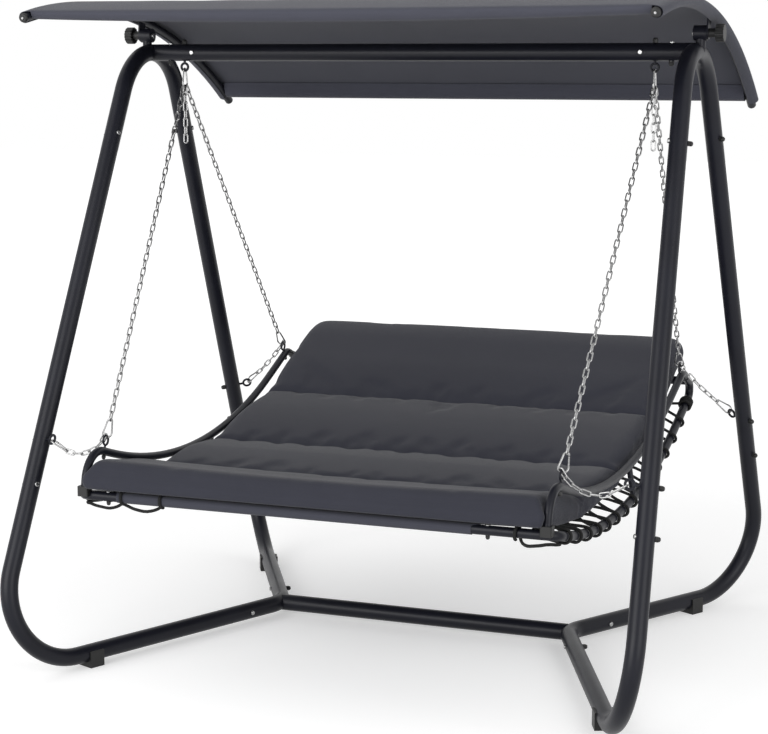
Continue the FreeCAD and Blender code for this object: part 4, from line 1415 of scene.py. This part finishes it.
@dataclass
class Studio:
    """Floor, lamps and camera."""

    azimuth: float = 20.629
    pitch: float = 8.666
    roll: float = 0.121
    focal_pixels: float = 1943.54
    eye: tuple[float, float, float] = (1.9020, -5.1094, 1.6285)
    middle_x: float = 401.47
    middle_y: float = 366.61
    sensor: float = 36.0
    floor_size: float = 60.0
    floor_drop: float = 0.0005
    ambient: float = 0.64
    aim: tuple[float, float, float] = (0.0, 0.0, 0.8)
    lamps: tuple[Lamp, ...] = (Lamp("key_lamp", (-2.6, -6.2, 2.7), 5.0, 340.0),
                               Lamp("fill_lamp", (5.2, -3.6, 2.2), 4.0, 150.0))

    def build(self) -> None:
        """Set the whole studio up."""
        self.floor()
        self.sky()
        for lamp in self.lamps:
            lamp.hang(self.aim)
        self.camera()
        bpy.context.scene.view_settings.view_transform = "Standard"

    def floor(self) -> None:
        """Lay the floor paper."""
        bpy.ops.object.select_all(action="DESELECT")
        bpy.ops.mesh.primitive_plane_add(size=self.floor_size, location=(0.0, 0.0, -self.floor_drop))
        paper = bpy.context.view_layer.objects.active
        paper.name = "floor_paper"
        bpy.ops.object.transform_apply(location=True, rotation=True, scale=True)
        paper.data.materials.append(StudioPaper().make("studio_paper"))

    def sky(self) -> None:
        """White to look at, softer as a light."""
        world = bpy.data.worlds.new("studio")
        bpy.context.scene.world = world
        shader = Shader(world, "ShaderNodeOutputWorld")
        strength = self.ambient + shader.seen() * (1 - self.ambient)
        light = shader.node("ShaderNodeBackground", inputs={"Color": grey(1.0), "Strength": strength})
        shader.finish(light.outputs[0])

    def camera(self) -> None:
        """Stand the camera where the view was taken from."""
        data = bpy.data.cameras.new("view_camera")
        data.sensor_width = self.sensor
        data.lens = self.focal_pixels / IMAGE_WIDTH * self.sensor
        data.shift_x = (IMAGE_WIDTH / 2 - self.middle_x) / IMAGE_WIDTH
        data.shift_y = (self.middle_y - IMAGE_HEIGHT / 2) / IMAGE_WIDTH
        camera = bpy.data.objects.new("view_camera", data)
        turn = Matrix.Rotation(math.radians(self.azimuth), 4, "Z")
        tip = Matrix.Rotation(math.radians(90 - self.pitch), 4, "X")
        roll = Matrix.Rotation(math.radians(self.roll), 4, "Z")
        camera.matrix_world = Matrix.Translation(Vector(self.eye)) @ turn @ tip @ roll
        bpy.context.scene.collection.objects.link(camera)
        bpy.context.scene.camera = camera


@dataclass
class Frame:
    """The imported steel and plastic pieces, which keep their shape and get their finishes."""

    loaded: dict

    def dress(self, finishes: dict[str, bpy.types.Material]) -> None:
        """Paint every node with the finish of its slot.

        Args:
            finishes: materials by slot.
        """
        for part in self.loaded["record"]["subparts"]:
            node = self.loaded["nodes"][part["node"]]
            node.data.materials.clear()
            node.data.materials.append(finishes[part["material_slot"]])
            LOG.info("painted %s", node.name)


def make_finishes() -> dict[str, bpy.types.Material]:
    """Make every finish of the swing.

    Returns:
        Materials by slot.
    """
    finishes = {
        "frame_paint": POWDER_COAT,
        "bright_zinc": ZINC_PLATE,
        "black_plastic": MOULDING,
        "canopy_cloth": Cloth(0.058, 0.30, 900.0, Weave.PLAIN),
        "mattress_cloth": Cloth(0.031, 0.36, 1000.0, Weave.PLAIN),
        "sling_cloth": Cloth(0.042, 0.30, 420.0, Weave.MESH),
        "elastic_cord": BraidedElastic(),
    }
    return {slot: finish.make(slot) for slot, finish in finishes.items()}


def main() -> None:
    """Build and dress the swing, light it and note its size."""
    logging.basicConfig(level=logging.INFO, format="%(message)s")
    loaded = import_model()
    finishes = make_finishes()
    Studio().build()
    Frame(loaded).dress(finishes)
    canopy = Canopy()
    canopy.dress(canopy.build(), finishes["canopy_cloth"])
    LOG.info("canopy sheet laid, %.3f by %.3f m flat", *canopy.flat)
    sling = Sling()
    sling.dress(sling.build(), finishes["sling_cloth"])
    LOG.info("sling laid, %.3f by %.3f m flat", *sling.flat)
    for lacing in (Lacing(Side.LEFT, (0.405, 0.519)), Lacing(Side.RIGHT, (0.548,))):
        lacing.dress(lacing.build(), finishes["elastic_cord"])
        LOG.info("%s lacing tied", lacing.side.word)
    stays = []
    for end in End:
        for side in Side:
            stay = Stay(end, side)
            piece = stay.build()
            stay.dress(piece, finishes["bright_zinc"])
            stays.append(piece)
            LOG.info("%s hooked in", piece.name)
    for piece in stays[:2]:
        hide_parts("front_stabiliser_chains", "stabiliser_carabiners")
    for piece in stays[2:]:
        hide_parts("rear_stabiliser_chains", "stabiliser_carabiners")
    mattress = Mattress()
    mattress.dress(mattress.build(), finishes["mattress_cloth"])
    LOG.info("mattress laid")


if __name__ == "__main__":
    main()
